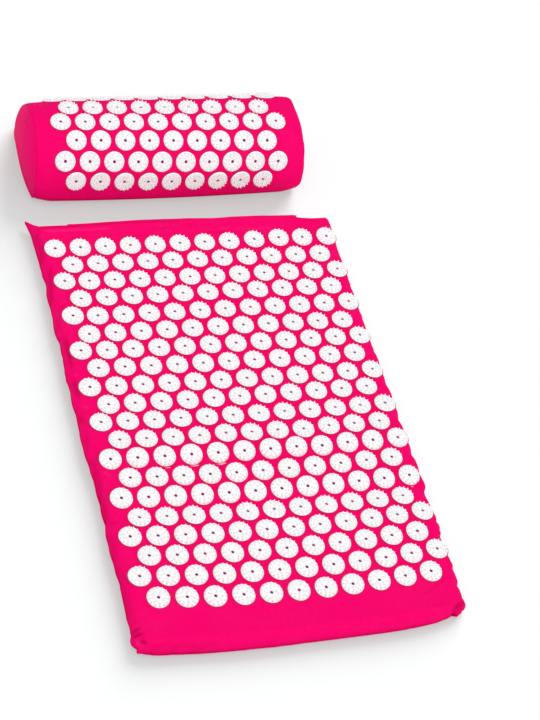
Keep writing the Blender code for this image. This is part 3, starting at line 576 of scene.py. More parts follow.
mat = {
    "width": 0.392,
    "length": 0.642,
    "top": 0.0236,
    "crown": 0.0015,
    "seam": 0.009,
    "nearSeam": 0.0055,
    "seamGap": 0.0003,
    "seamTuck": 0.0010,
    "sideRound": 0.012,
    "farRound": 0.018,
    "nearRound": 0.013,
    "cell": 0.0028,
    "rollSteps": 10,
    "cloth": 0.0012,
    "rightDraw": 0.002,
    "leftOut": (0.0044, 0.0026),       # how far the left side swells, along it and at the far end
    "nearBulge": 0.006,
    "zipHalf": 0.150,
    "zipRamp": 0.004,
    "zipHalfOpen": 0.004,
    "pitch": 0.0325,
    "sag": 0.0005,                     # how far the cloth sinks between discs
    # by side, left -1 and right 1, then near -1 and far 1
    "corners": {
        (-1, 1): {"round": 0.009, "ear": 0.0160, "reach": 0.0135, "across": 0.39},
        (1, 1): {"round": 0.020, "ear": -0.0010, "reach": 0.020, "across": 0.7},
        (-1, -1): {"round": 0.017, "ear": 0.0, "reach": 0.020, "across": 0.7},
        (1, -1): {"round": 0.005, "ear": 0.0, "reach": 0.020, "across": 0.7},
    },
    # by row from the far end: how far its discs lie off their even places, right and far, in
    # millimetres, and their lean to the near end in degrees; each at the left, middle and right
    "rows": (
        ((0.9, -0.3, 1.2), (1.4, 0.5, 1.3), (6, 2, 8)),
        ((1.3, -0.2, 0.6), (0.5, 0.0, -0.7), (-1, -1, 0)),
        ((1.0, -0.8, 0.3), (0.8, -0.9, -0.8), (0, 0, 0)),
        ((0.5, 0.0, 0.8), (-0.2, 0.3, -0.3), (0, -3, -1)),
        ((-0.6, -0.9, 0.0), (-1.3, -0.7, -0.7), (2, -1, 2)),
        ((-0.9, -0.8, -0.4), (-2.1, -0.6, -2.0), (2, 2, -2)),
        ((-0.7, -1.0, -0.8), (-1.0, -0.6, -1.6), (2, 1, 0)),
        ((-0.7, -0.8, 0.4), (-0.3, -0.9, -1.2), (2, 2, 0)),
        ((-0.8, -1.2, -0.5), (-1.1, -1.0, -2.1), (2, 0, -1)),
        ((-0.2, -0.7, 0.6), (-0.9, 0.3, 0.1), (2, 0, -2)),
        ((1.5, 0.2, 0.4), (0.4, 0.5, -0.8), (0, -4, -4)),
        ((1.9, 0.7, 1.4), (0.8, 1.4, 1.0), (-4, -3, -2)),
        ((1.3, 1.0, 1.0), (1.1, 2.9, 0.9), (10, 14, 8)),
        ((2.4, -0.3, 1.1), (0.5, -0.1, 0.9), (2, 5, 1)),
        ((2.2, -0.5, -1.1), (-0.4, -0.2, -0.5), (10, 12, 10)),
        ((0.8, -1.1, -1.9), (-1.3, -1.0, -1.3), (-5, -5, -7)),
        ((0.7, -0.6, -0.5), (0.5, 0.1, 1.2), (2, 1, -4)),
        ((0.5, -0.2, 0.6), (0.9, 0.0, 1.8), (1, 2, 1)),
        ((-0.4, 0.1, 0.7), (0.9, -0.5, 1.1), (1, 4, 1)),
        ((-1.6, -0.9, 0.3), (-0.5, -2.2, 0.2), (5, 5, 5)),
    ),
    # a few discs lie off their row's curve: by row and place in it, right and far, in millimetres
    "strays": {(5, 1): (1.8, 2.0), (1, 10): (1.3, 1.3), (1, 9): (1.0, 0.8), (3, 1): (1.2, 1.2),
               (7, 1): (0.5, 1.3), (12, 5): (0.5, 1.2), (12, 8): (-0.3, -1.5), (13, 9): (-0.5, -1.5)},
    "sideLean": (1.0, 5.0),            # degrees to the right, of most discs and of the long rows' last
    "unevenLean": 3.0,
    # millimetres, to the nearest half: how far each edge lies off its plain line, and where
    "drift": {
        "left": ((-330, 3), (-305, 2.5), (-298, 0), (-294, -0.5), (-288, 1), (-276, -0.5), (-264, 1),
                 (-252, 0.5), (-235, 2), (-205, 1), (-190, 0), (-166, 0), (-138, 2), (-100, 2),
                 (-84, 1.5), (-73, 2.5), (-60, 1), (-40, 0), (-24, -1), (-12, -0.5), (0, 0), (18, 1),
                 (30, 0), (50, 0.5), (66, 1.5), (78, 0), (86, 0), (96, 2), (110, 2), (132, 3.5),
                 (144, 1), (165, 1), (176, 3), (186, 2.5), (198, 1), (216, 1), (230, 3.5), (246, 1),
                 (282, 0.5), (300, -0.5), (318, 0)),
        "right": ((-330, -0.5), (-306, -0.5), (-292, -2), (-280, -2), (-270, 0), (-256, 0),
                  (-246, 1.5), (-240, 0), (-230, -1.5), (-204, -2), (-198, 1.5), (-190, 3),
                  (-182, 0.5), (-174, 2), (-160, 0), (-144, -1.5), (-138, 0), (-128, 3), (-118, 2.5),
                  (-90, 2.5), (-78, 1), (-66, 2), (-36, 1), (-24, 0.5), (-12, 1.5), (20, 2), (36, 0),
                  (84, 0.5), (96, -1), (126, -1), (140, 0.5), (150, -1.5), (186, -1.5), (195, 0),
                  (204, -1.5), (240, -0.5), (258, -1), (282, 1), (318, 1)),
        "near": ((-210, 2), (-192, 2), (-184, 0.5), (-174, -1.5), (-126, -2), (-85, -2.5), (-48, -1.5),
                 (-24, -1), (0, 0), (24, 0.5), (96, 1), (114, 1.5), (126, 2.5), (138, 3), (150, 4),
                 (156, 4.5), (162, 5.5), (168, 7), (174, 8.5), (179, 11), (183, 8.5), (188, 11.5),
                 (194, 16), (200, 19.5)),
        "far": ((-200, 0), (-180, -0.5), (-150, -1), (-90, 0.5), (-78, 1), (-54, 2), (-30, 2), (-6, 1),
                (6, 1), (18, 0), (42, -1.5), (54, -1), (66, 0.5), (96, 0.5), (108, 0), (120, -1.5),
                (138, -3), (150, -4.5), (162, -6.5), (168, -8), (180, -8), (200, -6.5)),
    },
    "rowWave": (0.0551, -0.123),       # the sides' waves between the rows: length and start
    # by side: how deep its waves are and where they end, how uneven it is, how coarsely, and a seed
    "sideWaves": {-1: (0.0011, 0.28, 0.0012, 0.05, 2.0), 1: (0.0019, 0.26, 0.0009, 0.04, 5.0)},
    "leftBumps": ((-0.301, 0.0050, 0.011), (-0.287, -0.0025, 0.009)),   # place, push and width
    # long soft folds by the far edge: place, height, width, how far and how fast they wander, seeds
    "farFolds": ((0.3085, 0.0010, 0.004, 0.003, 0.10, 4, 6.0),
                 (0.3030, -0.0009, 0.003, 0.002, 0.10, 2, 8.0),
                 (0.2985, 0.0007, 0.004, 0.004, 0.12, 0, 1.0)),
    "nearGather": 0.0012,
    # width, depth, painted shade (below nought a painted highlight), and the points of its line, in
    # millimetres; ridges have a depth below nought
    "creases": (
        (4.2, 0.8, 0.36, ((-197, 307), (-194, 284), (-196, 252))),
        (4.0, 0.8, 0.34, ((-190, 244), (-194, 216), (-196, 200), (-197, 187))),
        (2.2, 0.4, 0.25, ((-185, 250), (-193, 230))),
        (4.0, 0.5, 0.25, ((-193, 309), (-193, 303))),
        (3.0, 0.4, 0.25, ((-181, 184), (-193, 173))),
        (1.8, -0.3, -0.30, ((-179, 188), (-187, 183))),
        (4.0, 0.5, 0.25, ((-196, 168), (-197, 141))),
        (4.2, 1.1, 0.40, ((-193, 136), (-193, 117), (-194, 91), (-193, 79))),
        (4.2, 1.0, 0.38, ((-196, 70), (-195, 45), (-194, 31))),
        (4.0, 0.8, 0.30, ((-197, 18), (-198, 7), (-196, -5))),
        (4.4, 0.5, 0.22, ((-197, -12), (-198, -40))),
        (4.4, 0.9, 0.30, ((-198, -47), (-196, -62), (-196, -78), (-197, -101), (-197, -118),
                          (-197, -144))),
        (3.4, 0.7, 0.30, ((-198, -147), (-185, -148))),
        (4.4, 0.4, 0.20, ((-198, -155), (-198, -177), (-199, -199))),
        (1.8, -0.3, -0.35, ((-194, -73), (-178, -85))),
        (1.8, -0.3, -0.30, ((-196, 25), (-184, 16))),
        (1.8, -0.3, -0.25, ((-196, 72), (-189, 69))),
        (6.0, 0.3, 0.20, ((-199, -199), (-199, -229), (-200, -279))),
        (3.0, 1.3, 0.80, ((-203, -292), (-198, -292), (-191, -291))),
        (3.0, 1.7, 0.85, ((-203, -297), (-197, -298), (-189, -299))),
        (2.8, 1.2, 0.60, ((-195, -303), (-192, -307), (-187, -311))),
        (2.2, -0.3, -0.40, ((-200, -301), (-195, -307), (-190, -312))),
        (4.0, 0.4, 0.16, ((-187, -312), (-178, -314), (-168, -313), (-160, -316), (-147, -315),
                          (-134, -318), (-120, -317), (-104, -319))),
        (2.4, 0.8, 0.60, ((196, -283), (195, -296))),
        (3.0, 2.4, 0.75, ((195, -297), (184, -300), (175, -306))),
        (2.2, 1.6, 0.55, ((192, -299), (185, -304), (178, -308))),
        (1.8, 0.5, 0.25, ((143, -287), (165, -273), (189, -256))),
        (1.6, 0.3, 0.15, ((148, -302), (184, -297))),
        (2.4, 0.9, 0.40, ((187, -131), (190, -145))),
        (2.4, 0.9, 0.40, ((193, -172), (195, -184))),
        (1.8, -0.3, -0.30, ((185, -145), (191, -150))),
        (2.4, 0.6, 0.35, ((191, -235), (193, -244))),
        (2.8, 0.6, 0.50, ((-191, 309), (-163, 310), (-127, 311))),
        (3.0, 0.6, 0.40, ((-127, 311), (-87, 312), (-56, 313), (-5, 309))),
        (3.0, 0.6, 0.30, ((1, 306), (8, 299))),
        (2.2, 0.4, 0.30, ((11, 290), (42, 289), (67, 285))),
        (2.0, -0.4, -0.30, ((36, 294), (76, 293), (115, 292))),
        (2.0, -0.4, -0.30, ((-190, 303), (-145, 303), (-98, 303))),
        (3.2, 0.3, 0.15, ((150, 306), (168, 302), (185, 299))),
        (3.4, 0.3, 0.12, ((136, 294), (151, 292), (165, 289))),
        (1.8, 0.4, 0.25, ((-160, 288), (-131, 290), (-103, 291), (-51, 289))),
        (2.4, 0.5, 0.30, ((-52, 297), (-29, 300), (-7, 297))),
    ),
}
mat["halfWidth"] = mat["width"] / 2
mat["halfLength"] = mat["length"] / 2


def matHeight(x, y):
    u = min(1.0, abs(x) / mat["halfWidth"])
    v = min(1.0, abs(y) / mat["halfLength"])
    z = mat["top"] + mat["crown"] * (1 - u * u) * (1 - v * v)
    return z + 0.0005 * grain(x, y, 0.09, 3.0)


def rowDiscs(node):
    # Middles of a row's discs, from the frame's box of the row
    low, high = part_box(node)
    reachX, reachY = disc["solidReach"]
    last = (high[0] - low[0]) / 2 - reachX
    count = 1 + round(2 * last / mat["pitch"])
    middle = (low[0] + high[0]) / 2
    xs = [last * (2 * i / (count - 1) - 1) for i in range(count)]
    first = min(abs(x) for x in xs)
    yMiddle, yEnd = low[1] + reachY, high[1] - reachY
    spread = last * last - first * first
    return [(middle + x, mix(yMiddle, yEnd, (x * x - first * first) / spread)) for x in xs]


def matDiscFrames():
    rng = random.Random(7)
    frames = []
    for row, (right, far, lean) in enumerate(mat["rows"]):
        node = f"mat_disc_row_{row + 1:02d}"
        even = rowDiscs(node)
        for column, (x, y) in enumerate(even):
            t = x / even[-1][0]
            strayX, strayY = mat["strays"].get((row + 1, column + 1), (0.0, 0.0))
            x += (curve(right, t) + strayX) / 1000
            y += (curve(far, t) + strayY) / 1000
            leanX = mix(*mat["sideLean"], ease((x - 0.168) / 0.008)) \
                + mat["unevenLean"] * grain(x, y, 0.025, 6.0)
            leanY = curve(lean, t) + mat["unevenLean"] * grain(x, y, 0.025, 9.0)
            normal = Vector((math.tan(math.radians(leanX)), -math.tan(math.radians(leanY)), 1))
            normal.normalize()
            across = normal.cross(Vector((1, 0, 0))).normalized()
            side = across.cross(normal).normalized()
            middle = Vector((x, y, matHeight(x, y)))
            frames.append({
                "node": node, "middle": middle, "normal": normal, "turn": rng.uniform(0, math.tau),
                "place": Matrix.Translation(middle)
                @ Matrix((side, across, normal)).transposed().to_4x4()})
    return frames


def insets(depth, count):
    return [depth * (1 - math.cos(math.pi / 2 * k / count)) for k in range(count + 1)]


def stations(half, lowRound, highRound, cell):
    # Places across the mat with their ring, 0 at the seam
    count = mat["rollSteps"]
    low = [-half + inset for inset in insets(lowRound, count)]
    high = [half - inset for inset in reversed(insets(highRound, count))]
    steps = round((high[0] - low[-1]) / cell)
    middle = [mix(low[-1], high[0], i / steps) for i in range(1, steps)]
    places = low + middle + high
    last = len(places) - 1
    return [(place, min(i, last - i, count)) for i, place in enumerate(places)]


def cornerOf(x, y):
    return mat["corners"][(-1 if x < 0 else 1, 1 if y > 0 else -1)]


def roundCorner(x, y, amount):
    r = cornerOf(x, y)["round"]
    innerX, innerY = mat["halfWidth"] - r, mat["halfLength"] - r
    u, v = (abs(x) - innerX) / r, (abs(y) - innerY) / r
    if u <= 0 or v <= 0:
        return x, y
    roundU = u * math.sqrt(1 - v * v / 2)
    roundV = v * math.sqrt(1 - u * u / 2)
    return (math.copysign(innerX + r * mix(u, roundU, amount), x),
            math.copysign(innerY + r * mix(v, roundV, amount), y))


def pullCorner(x, y, share):
    # Draws the seam's corner out into an ear, or in
    corner = cornerOf(x, y)
    along = (mat["halfWidth"] - abs(x)) + (mat["halfLength"] - abs(y))
    near = max(0.0, 1 - along / corner["reach"])
    shift = corner["ear"] * near ** 1.6 * (1 - ease(share * 1.1))
    return (x + math.copysign(1, x) * shift * corner["across"],
            y + math.copysign(1, y) * shift)


def sideWave(x, y, share):
    # The long sides run in and out a little between the discs' rows
    near = ease((abs(x) - mat["halfWidth"] + 0.03) / 0.03)
    if near <= 0:
        return x
    side = 1 if x > 0 else -1
    length, start = mat["rowWave"]
    depth, end, uneven, size, seed = mat["sideWaves"][side]
    wave = depth * math.cos(math.tau * (y - start) / length) * ease((end - y) / 0.05)
    wave += uneven * grain(y, side, size, seed)
    if side < 0:
        wave += sum(push * hump(y - place, width) for place, push, width in mat["leftBumps"])
    fine = 0.0003 * grain(y, x, 0.008, 9.0) * (1 - share)
    return x + math.copysign(wave + fine, x) * near


def driftAt(edge, place):
    # How far the edge lies off its plain line there, in metres
    points = mat["drift"][edge]
    place *= 1000
    i = min(len(points) - 2, max(0, bisect.bisect_right(points, (place, 99.0)) - 1))
    (x0, a), (x1, b) = points[i], points[i + 1]
    return mix(a, b, ease((place - x0) / (x1 - x0))) / 1000


def easePlan(x, y, share):
    # The outline is drawn in at the sides and bows out at the near end
    u, v = x / mat["halfWidth"], y / mat["halfLength"]
    inX, inY = mat["halfWidth"] - abs(x), mat["halfLength"] - abs(y)
    toX = driftAt("left" if x < 0 else "right", y) * ease(1 - inX / 0.035)
    if y < 0:
        toY = driftAt("near", x) * ease(1 - inY / 0.055)
    else:
        # along the zip the seam stays where the zip is
        seamFree = mix(ease(share * 2), 1.0, ease((abs(x) - 0.152) / 0.012))
        toY = driftAt("far", x) * ease(1 - inY / 0.022) * seamFree
    if x > 0:
        x -= mat["rightDraw"] * (1 - v * v) * u
    else:
        along, end = mat["leftOut"]
        x -= mix(along, end, ease((y - 0.17) / 0.05)) * ease((-u - 0.8) / 0.2)
    y += mat["nearBulge"] * u * u * min(0.0, v) ** 2
    x = sideWave(x, y, share)
    if abs(v) > 0.9:
        near = ease((abs(v) - 0.9) / 0.1)
        side = math.copysign(near, v)
        y += side * (0.0008 * grain(x, side, 0.05, 12.0)
                     + 0.0003 * grain(x, side, 0.009, 15.0) * (1 - share))
    return x + toX, y + toY


def readCreases():
    found = []
    for width, depth, paintedShade, points in mat["creases"]:
        line = [Vector(p) / 1000 for p in points]
        width /= 1000
        box = [f(p[k] for p in line) + side * width
               for f, side in ((min, -1), (max, 1)) for k in (0, 1)]
        found.append((box, width, depth / 1000, paintedShade, line))
    return found


matCreases = readCreases()


def creaseAt(x, y):
    # How deep a place lies in the creases, and how much painted shade they lay on it; below nought a
    # painted highlight
    depth = paintedShade = 0.0
    place = Vector((x, y))
    for (lowX, lowY, highX, highY), width, down, dark, line in matCreases:
        if not (lowX < x < highX and lowY < y < highY):
            continue
        nearest = width
        for a, b in zip(line, line[1:]):
            run = b - a
            t = min(1.0, max(0.0, (place - a).dot(run) / run.length_squared))
            nearest = min(nearest, (place - a - run * t).length)
        end = min((place - line[0]).length, (place - line[-1]).length)
        taper = min(0.010, 0.4 * (line[0] - line[-1]).length)
        share = hump(nearest, width) * ease(end / taper)
        depth += down * share
        paintedShade += dark * share
    return depth, paintedShade


def atMatZip(x, y):
    # 1 along the opening for the zip, falling to nought past its ends
    if y < mat["halfLength"] - mat["farRound"]:
        return 0.0
    return 1 - ease((abs(x) - mat["zipHalf"]) / mat["zipRamp"])


def seamAt(y):
    # The seam sits lower along the near end
    return mix(mat["seam"], mat["nearSeam"], ease((-y - 0.285) / 0.03))


def tuckAt(x, y, opening):
    # The stitching draws the seam in, with small puckers
    pucker = 0.5 + 0.5 * grain(x, y, 0.007, 31.0)
    return mat["seamTuck"] * (0.7 + 0.6 * pucker) * (1 - opening)


def farFolds(x, y):
    # Between the last row of discs and the far edge
    return sum(height * hump(y - place + wander * grain(x, lane, size, seed), width)
               for place, height, width, wander, size, lane, seed in mat["farFolds"])


def nearFolds(x, y):
    # Gathers above the near seam
    fromSeam = y + mat["halfLength"]
    return -mat["nearGather"] * hump(fromSeam - 0.012, 0.012) * max(0.0, grain(x, 1, 0.022, 21.0)) \
        * ease((0.1 - x) / 0.15)


def rollPlace(x, y, ring):
    # Side of the roll, 0 at the seam to 1 on top, with the depths that the sides have there
    share = ring / mat["rollSteps"]
    tuck = tuckAt(x, y, atMatZip(x, y)) * max(0.0, 1 - share / 0.28) ** 2
    x -= math.copysign(tuck, x) * ease((abs(x) - mat["halfWidth"] + 0.014) / 0.014)
    y -= math.copysign(tuck, y) * ease((abs(y) - mat["halfLength"] + 0.014) / 0.014)
    x, y = roundCorner(x, y, ease(share * 2))
    x, y = pullCorner(x, y, share)
    return easePlan(x, y, share)


def coverPoint(x, y, ring):
    share = ring / mat["rollSteps"]
    laid = rollPlace(x, y, ring)
    z = matHeight(x, y)
    if ring == mat["rollSteps"]:
        pressed, hold = pressToDiscs(Vector((*laid, z)), matSquares)
        room = min(mat["halfWidth"] - abs(x) - mat["sideRound"],
                   mat["halfLength"] - abs(y) - mat["sideRound"])
        z = mix(z, pressed.z - mat["sag"] * (1 - hold), ease(room / 0.004))
    z += farFolds(x, y) + nearFolds(x, y)
    seam = seamAt(y)
    rise = mix(mat["seamGap"] / 2, mat["zipHalfOpen"], atMatZip(x, y))
    start = math.asin(rise / (z - seam))
    z = seam + (z - seam) * math.sin(mix(start, math.pi / 2, share))
    if 0.35 < share < 1:
        z = min(z, pressToDiscs(Vector((*laid, z)), matSquares)[0].z)
    depth = creaseAt(*laid)[0]
    if depth:
        slope = share * math.pi / 2
        z -= depth * math.sin(slope)
        inward = depth * math.cos(slope)
        if mat["halfWidth"] - abs(x) < mat["halfLength"] - abs(y):
            laid = (laid[0] - math.copysign(inward, x), laid[1])
        else:
            laid = (laid[0], laid[1] - math.copysign(inward, y))
    return Vector((*laid, z))


def solePoint(x, y, ring):
    share = ring / mat["rollSteps"]
    seam = seamAt(y)
    drop = mix(mat["seamGap"] / 2, mat["zipHalfOpen"], atMatZip(x, y))
    start = math.asin(drop / seam)
    z = seam * (1 - math.sin(mix(start, math.pi / 2, share)))
    x, y = rollPlace(x, y, ring)
    return Vector((x, y, z))


def buildMatPanel(name, node, point, cell, finish, flip):
    half, long = mat["halfWidth"], mat["halfLength"]
    xs = stations(half, mat["sideRound"], mat["sideRound"], cell)
    ys = stations(long, mat["nearRound"], mat["farRound"], cell)
    rows = [[point(x, y, min(ringX, ringY)) for x, ringX in xs] for y, ringY in ys]
    flats = [[(x, y) for x, ringX in xs] for y, ringY in ys]
    work = bmesh.new()
    clothGrid(work, rows, flats, flip=flip)
    made = addPiece(name, work, [finish], "mat", [node], closed=False)
    thicken(made, mat["cloth"])
    return made


def buildMatFoam():
    # A foam sheet with soft edges, a little crowned like the cover over it
    low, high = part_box("mat_foam_core")
    middle = [(low[k] + high[k]) / 2 for k in range(3)]
    half = [(high[k] - low[k]) / 2 for k in range(3)]
    steps, soft = 6, 0.007

    def line(length):
        edge = [-length + soft * (1 - math.cos(math.pi / 2 * k / steps)) for k in range(steps + 1)]
        inner = [mix(-length + soft, length - soft, i / 24) for i in range(1, 24)]
        return edge + inner + [-e for e in reversed(edge)]

    def side(sign):
        rows = []
        for y in line(half[1]):
            row = []
            for x in line(half[0]):
                edge = min(half[0] - abs(x), half[1] - abs(y), soft)
                rise = math.sqrt(max(0.0, 1 - (1 - edge / soft) ** 2))
                crown = mat["crown"] * (1 - (x / half[0]) ** 2) * (1 - (y / half[1]) ** 2)
                top = half[2] - (mat["crown"] * 0.5 - crown * 0.5 if sign > 0 else 0)
                plan = easePlan(middle[0] + x, middle[1] + y, 1.0)
                row.append(Vector((*plan, middle[2] + sign * top * rise)))
            rows.append(row)
        return rows

    work = bmesh.new()
    for sign in (1, -1):
        rows = side(sign)
        clothGrid(work, rows, [[(p.x, p.y) for p in row] for row in rows], flip=sign < 0)
    bmesh.ops.remove_doubles(work, verts=work.verts, dist=0.00002)
    made = addPiece("matFoam", work, [creamFoam], "mat", ["mat_foam_core"])


print("mat")
matDiscs = matDiscFrames()
matSquares = sortDiscs(matDiscs)
matCover = buildMatPanel("matCover", "mat_top_panel", coverPoint, mat["cell"],
                         cotton, False)
# painted shade in the creases and painted highlight on the ridges of the cover
paintFoldShade(matCover, lambda co: creaseAt(co.x, co.y)[1])
buildMatPanel("matSole", "mat_bottom_panel", solePoint, 0.006, cottonSolePaintedShade, True)
buildMatFoam()
buildDiscs(matDiscs, "mat")


# Pillow

pillow = {
    "place": (-0.005, 0.4355, 0.0),
    "turn": -1.9,                  # degrees
    "halfLength": 0.1765,
    "halfDepth": 0.075,
    "height": 0.085,
    "power": 2.2,
    "seam": 0.009,
    "seamGap": 0.0003,
    "shoulder": 0.030,
    "shoulderDrop": 0.004,
    "endRound": 0.015,
    "endDrop": 0.034,
    "frontRoll": (0.005, 0.0077, 0.0207),   # how far the front foot draws under, left to right
    "frontRollHeight": 0.055,
    "backRise": (-0.0025, 0.006),           # how far the back of the top swells, left and right
    "cornerDraw": 0.004,                    # how far the low corners are drawn in
    "cornerReach": (0.024, 0.030),          # from the end and from the floor
    "uneven": 0.0006,
    "endPull": 0.0007,                      # faint pulls that run in from the end seams
    "endGather": 0.0011,                    # on the end panels, by their seams
    "endDent": 0.0010,
    "soleRound": 0.014,
    "bulge": (0.0140, 0.0105),     # left and right end
    "bulgePower": (3.4, 1.9),      # how square the upper half bulges
    "bulgeHeight": 0.42,           # of the pillow's height
    "cell": 0.0027,
    "cloth": 0.0012,
    "foamInset": 0.0035,
    "zipHalf": 0.130,
    "zipRamp": 0.004,
    "zipHalfOpen": 0.004,
    "rowStart": 0.0372,            # along the cloth from the front foot
    "rowPitch": 0.027566,
    "discPitch": 0.0315,
    # by row from the front: how far its discs lie off their even places, right and up along the
    # cloth, in millimetres, and their lean right and forward in degrees; left, middle and right
    "rows": (
        ((-0.3, -0.8, -4.6), (3.7, 1.8, 3.3), (2, 4, 5), (4, 5, 6)),
        ((0.8, 0.9, -1.5), (2.0, 0.1, 0.0), (-1, 1, 3), (-2, 1, 7)),
        ((0.5, 1.1, 0.5), (0.9, -0.4, -1.0), (1, 1, 1), (4, 6, 6)),
        ((-0.8, 0.3, 0.9), (0.2, -0.7, -0.3), (-1, 2, 3), (3, 4, 4)),
        ((-2.0, -1.1, -0.3), (-0.9, -0.8, -0.1), (0, 0, 0), (6, 6, 6)),
        ((0.0, 0.0, 0.0), (5.0, 2.4, -0.7), (0, 0, 0), (0, 0, 0)),
        ((0.0, 0.0, 0.0), (0.0, 0.0, 0.0), (0, 0, 0), (0, 0, 0)),
    ),
    "shortRow": 9,                 # discs in the first row and every second one, one more between
    "discScale": 0.975,
}
pillowPlace = Matrix.Translation(pillow["place"]) \
    @ Matrix.Rotation(math.radians(pillow["turn"]), 4, "Z")


def archPoint(angle, depth=pillow["halfDepth"], height=pillow["height"]):
    # Half-round section from its front foot, at nought, to its back
    power = 2 / pillow["power"]
    y = -math.copysign(abs(math.cos(angle)) ** power, math.cos(angle)) * depth
    return y, abs(math.sin(angle)) ** power * height


def archLine(steps=600):
    points = [Vector(archPoint(math.pi * i / steps)) for i in range(steps + 1)]
    lengths = [0.0]
    for a, b in zip(points, points[1:]):
        lengths.append(lengths[-1] + (b - a).length)
    return points, lengths


archPoints, archLengths = archLine()


def archAt(length):
    # Place and slope of the section at a length of cloth from the front foot
    i = min(len(archLengths) - 2, max(0, bisect.bisect_right(archLengths, length) - 1))
    t = (length - archLengths[i]) / (archLengths[i + 1] - archLengths[i])
    a, b = archPoints[i], archPoints[i + 1]
    return a + (b - a) * t, math.atan2(b.y - a.y, b.x - a.x)


def footAngle(height):
    return math.asin((height / pillow["height"]) ** (pillow["power"] / 2))


def archLength(angle):
    return archLengths[round(angle / math.pi * (len(archLengths) - 1))]


pillowWall = abs(archPoint(footAngle(pillow["seam"]))[0])


def pillowFill(x):
    # How full the section is along the pillow: soft shoulders and a rounded end
    edge = pillow["halfLength"] - abs(x)
    shoulder = max(0.0, 1 - edge / pillow["shoulder"]) ** 2
    turn = max(0.0, 1 - edge / pillow["endRound"])
    return 1 - pillow["shoulderDrop"] * shoulder \
        - pillow["endDrop"] * (1 - math.sqrt(max(0.0, 1 - turn * turn)))


def frontRoll(x, z):
    # How far the front foot draws under, fading with height
    amount = curve(pillow["frontRoll"], x / pillow["halfLength"])
    return amount * max(0.0, 1 - z / pillow["frontRollHeight"]) ** 2


def cornerDraw(x, z):
    edge = pillow["halfLength"] - abs(x)
    along, up = pillow["cornerReach"]
    return pillow["cornerDraw"] * hump(edge, along) * hump(z, up)


def archPlace(x, y, z):
    # Bends a place of the plain section to the pillow's real, softer shape
    fill = pillowFill(x)
    z = pillow["seam"] + (z - pillow["seam"]) * fill
    drawn = cornerDraw(x, z)
    if y < 0:
        y += frontRoll(x, z) + drawn
    low, high = pillow["backRise"]
    rise = mix(low, high, (x / pillow["halfLength"] + 1) / 2)
    rise *= ease((y - 0.016) / 0.030) * ease((z - 0.030) / 0.035)
    return Vector((x - math.copysign(drawn * 0.5, x), y * fill + rise * 0.5, z + rise * 0.8))


def pillowPoint(x, length):
    place = archAt(length)[0]
    return archPlace(x, place.x, place.y)


def pillowDiscFrames():
    rng = random.Random(23)
    frames = []
    step = 0.004
    for row, (right, up, leanX, leanY) in enumerate(pillow["rows"]):
        even = pillow["rowStart"] + row * pillow["rowPitch"]
        count = pillow["shortRow"] + row % 2
        for column in range(count):
            t = 2 * column / (count - 1) - 1
            x = (column - (count - 1) / 2) * pillow["discPitch"] + curve(right, t) / 1000
            length = even + curve(up, t) / 1000
            along = (pillowPoint(x + step, length) - pillowPoint(x - step, length)).normalized()
            rise = pillowPoint(x, length + step) - pillowPoint(x, length - step)
            normal = along.cross(rise).normalized()
            flat = Matrix((along, normal.cross(along), normal)).transposed().to_4x4()
            spot = pillowPlace @ Matrix.Translation(pillowPoint(x, length)) @ flat \
                @ Euler((math.radians(curve(leanY, t)), math.radians(curve(leanX, t)), 0)) \
                .to_matrix().to_4x4()
            frames.append({"node": f"pillow_disc_row_{row + 1}", "middle": spot.to_translation(),
                           "normal": spot.to_3x3() @ Vector((0, 0, 1)),
                           "turn": rng.uniform(0, math.tau),
                           "place": spot @ Matrix.Scale(pillow["discScale"], 4)})
    return frames


def atPillowZip(x):
    return 1 - ease((abs(x) - pillow["zipHalf"]) / pillow["zipRamp"])


def pillowStations():
    half, soft = pillow["halfLength"], pillow["endRound"]
    edge = [half - e for e in insets(soft, 7)]
    steps = round(2 * (half - soft) / pillow["cell"])
    inner = [mix(-edge[-1], edge[-1], i / steps) for i in range(1, steps)]
    return [-e for e in edge] + inner + list(reversed(edge))


def buildPillowCover():
    rows, flats = [], []
    steps = round(archLengths[-1] / pillow["cell"])
    for x in pillowStations():
        front = archLength(footAngle(pillow["seam"] + pillow["seamGap"] / 2))
        lift = mix(pillow["seamGap"] / 2, pillow["zipHalfOpen"], atPillowZip(x))
        back = archLengths[-1] - archLength(footAngle(pillow["seam"] + lift))
        row, flat = [], []
        for i in range(steps + 1):
            length = mix(front, back, i / steps)
            place, slope = archAt(length)
            spot = archPlace(x, place.x, place.y)
            out = Vector((0, -math.sin(slope), math.cos(slope)))
            edge = pillow["halfLength"] - abs(x)
            loose = ease(min(length - front, back - length) / 0.012) * ease(edge / 0.008)
            spot += out * (pillow["uneven"] * grain(x, length, 0.05, 4.0) * loose)
            spot -= out * (pillow["endPull"] * max(0.0, grain(length, x * 0.2, 0.010, 7.0))
                           * hump(edge - 0.010, 0.014) * loose)
            row.append(pressToDiscs(pillowPlace @ spot, pillowSquares)[0])
            flat.append((x, length))
        rows.append(row)
        flats.append(flat)
    work = bmesh.new()
    clothGrid(work, rows, flats, flip=True)
    made = addPiece("pillowCover", work, [cotton], "pillow", ["pillow_cover"],
                    closed=False)
    thicken(made, pillow["cloth"])


def basePoint(x, share, side):
    # Lip of the base from its seam, at nought, to the floor
    opening = atPillowZip(x) if side > 0 else 0.0
    drop = mix(pillow["seamGap"] / 2, pillow["zipHalfOpen"], opening)
    angle = mix(math.asin(drop / pillow["seam"]), math.pi / 2, share)
    z = pillow["seam"] * (1 - math.sin(angle))
    y = side * (pillowWall - pillow["soleRound"] * (1 - math.cos(angle)))
    fill = pillowFill(x)
    drawn = cornerDraw(x, z)
    if side < 0:
        y += frontRoll(x, z) + drawn
    return Vector((x - math.copysign(drawn * 0.5, x), y * fill, z))


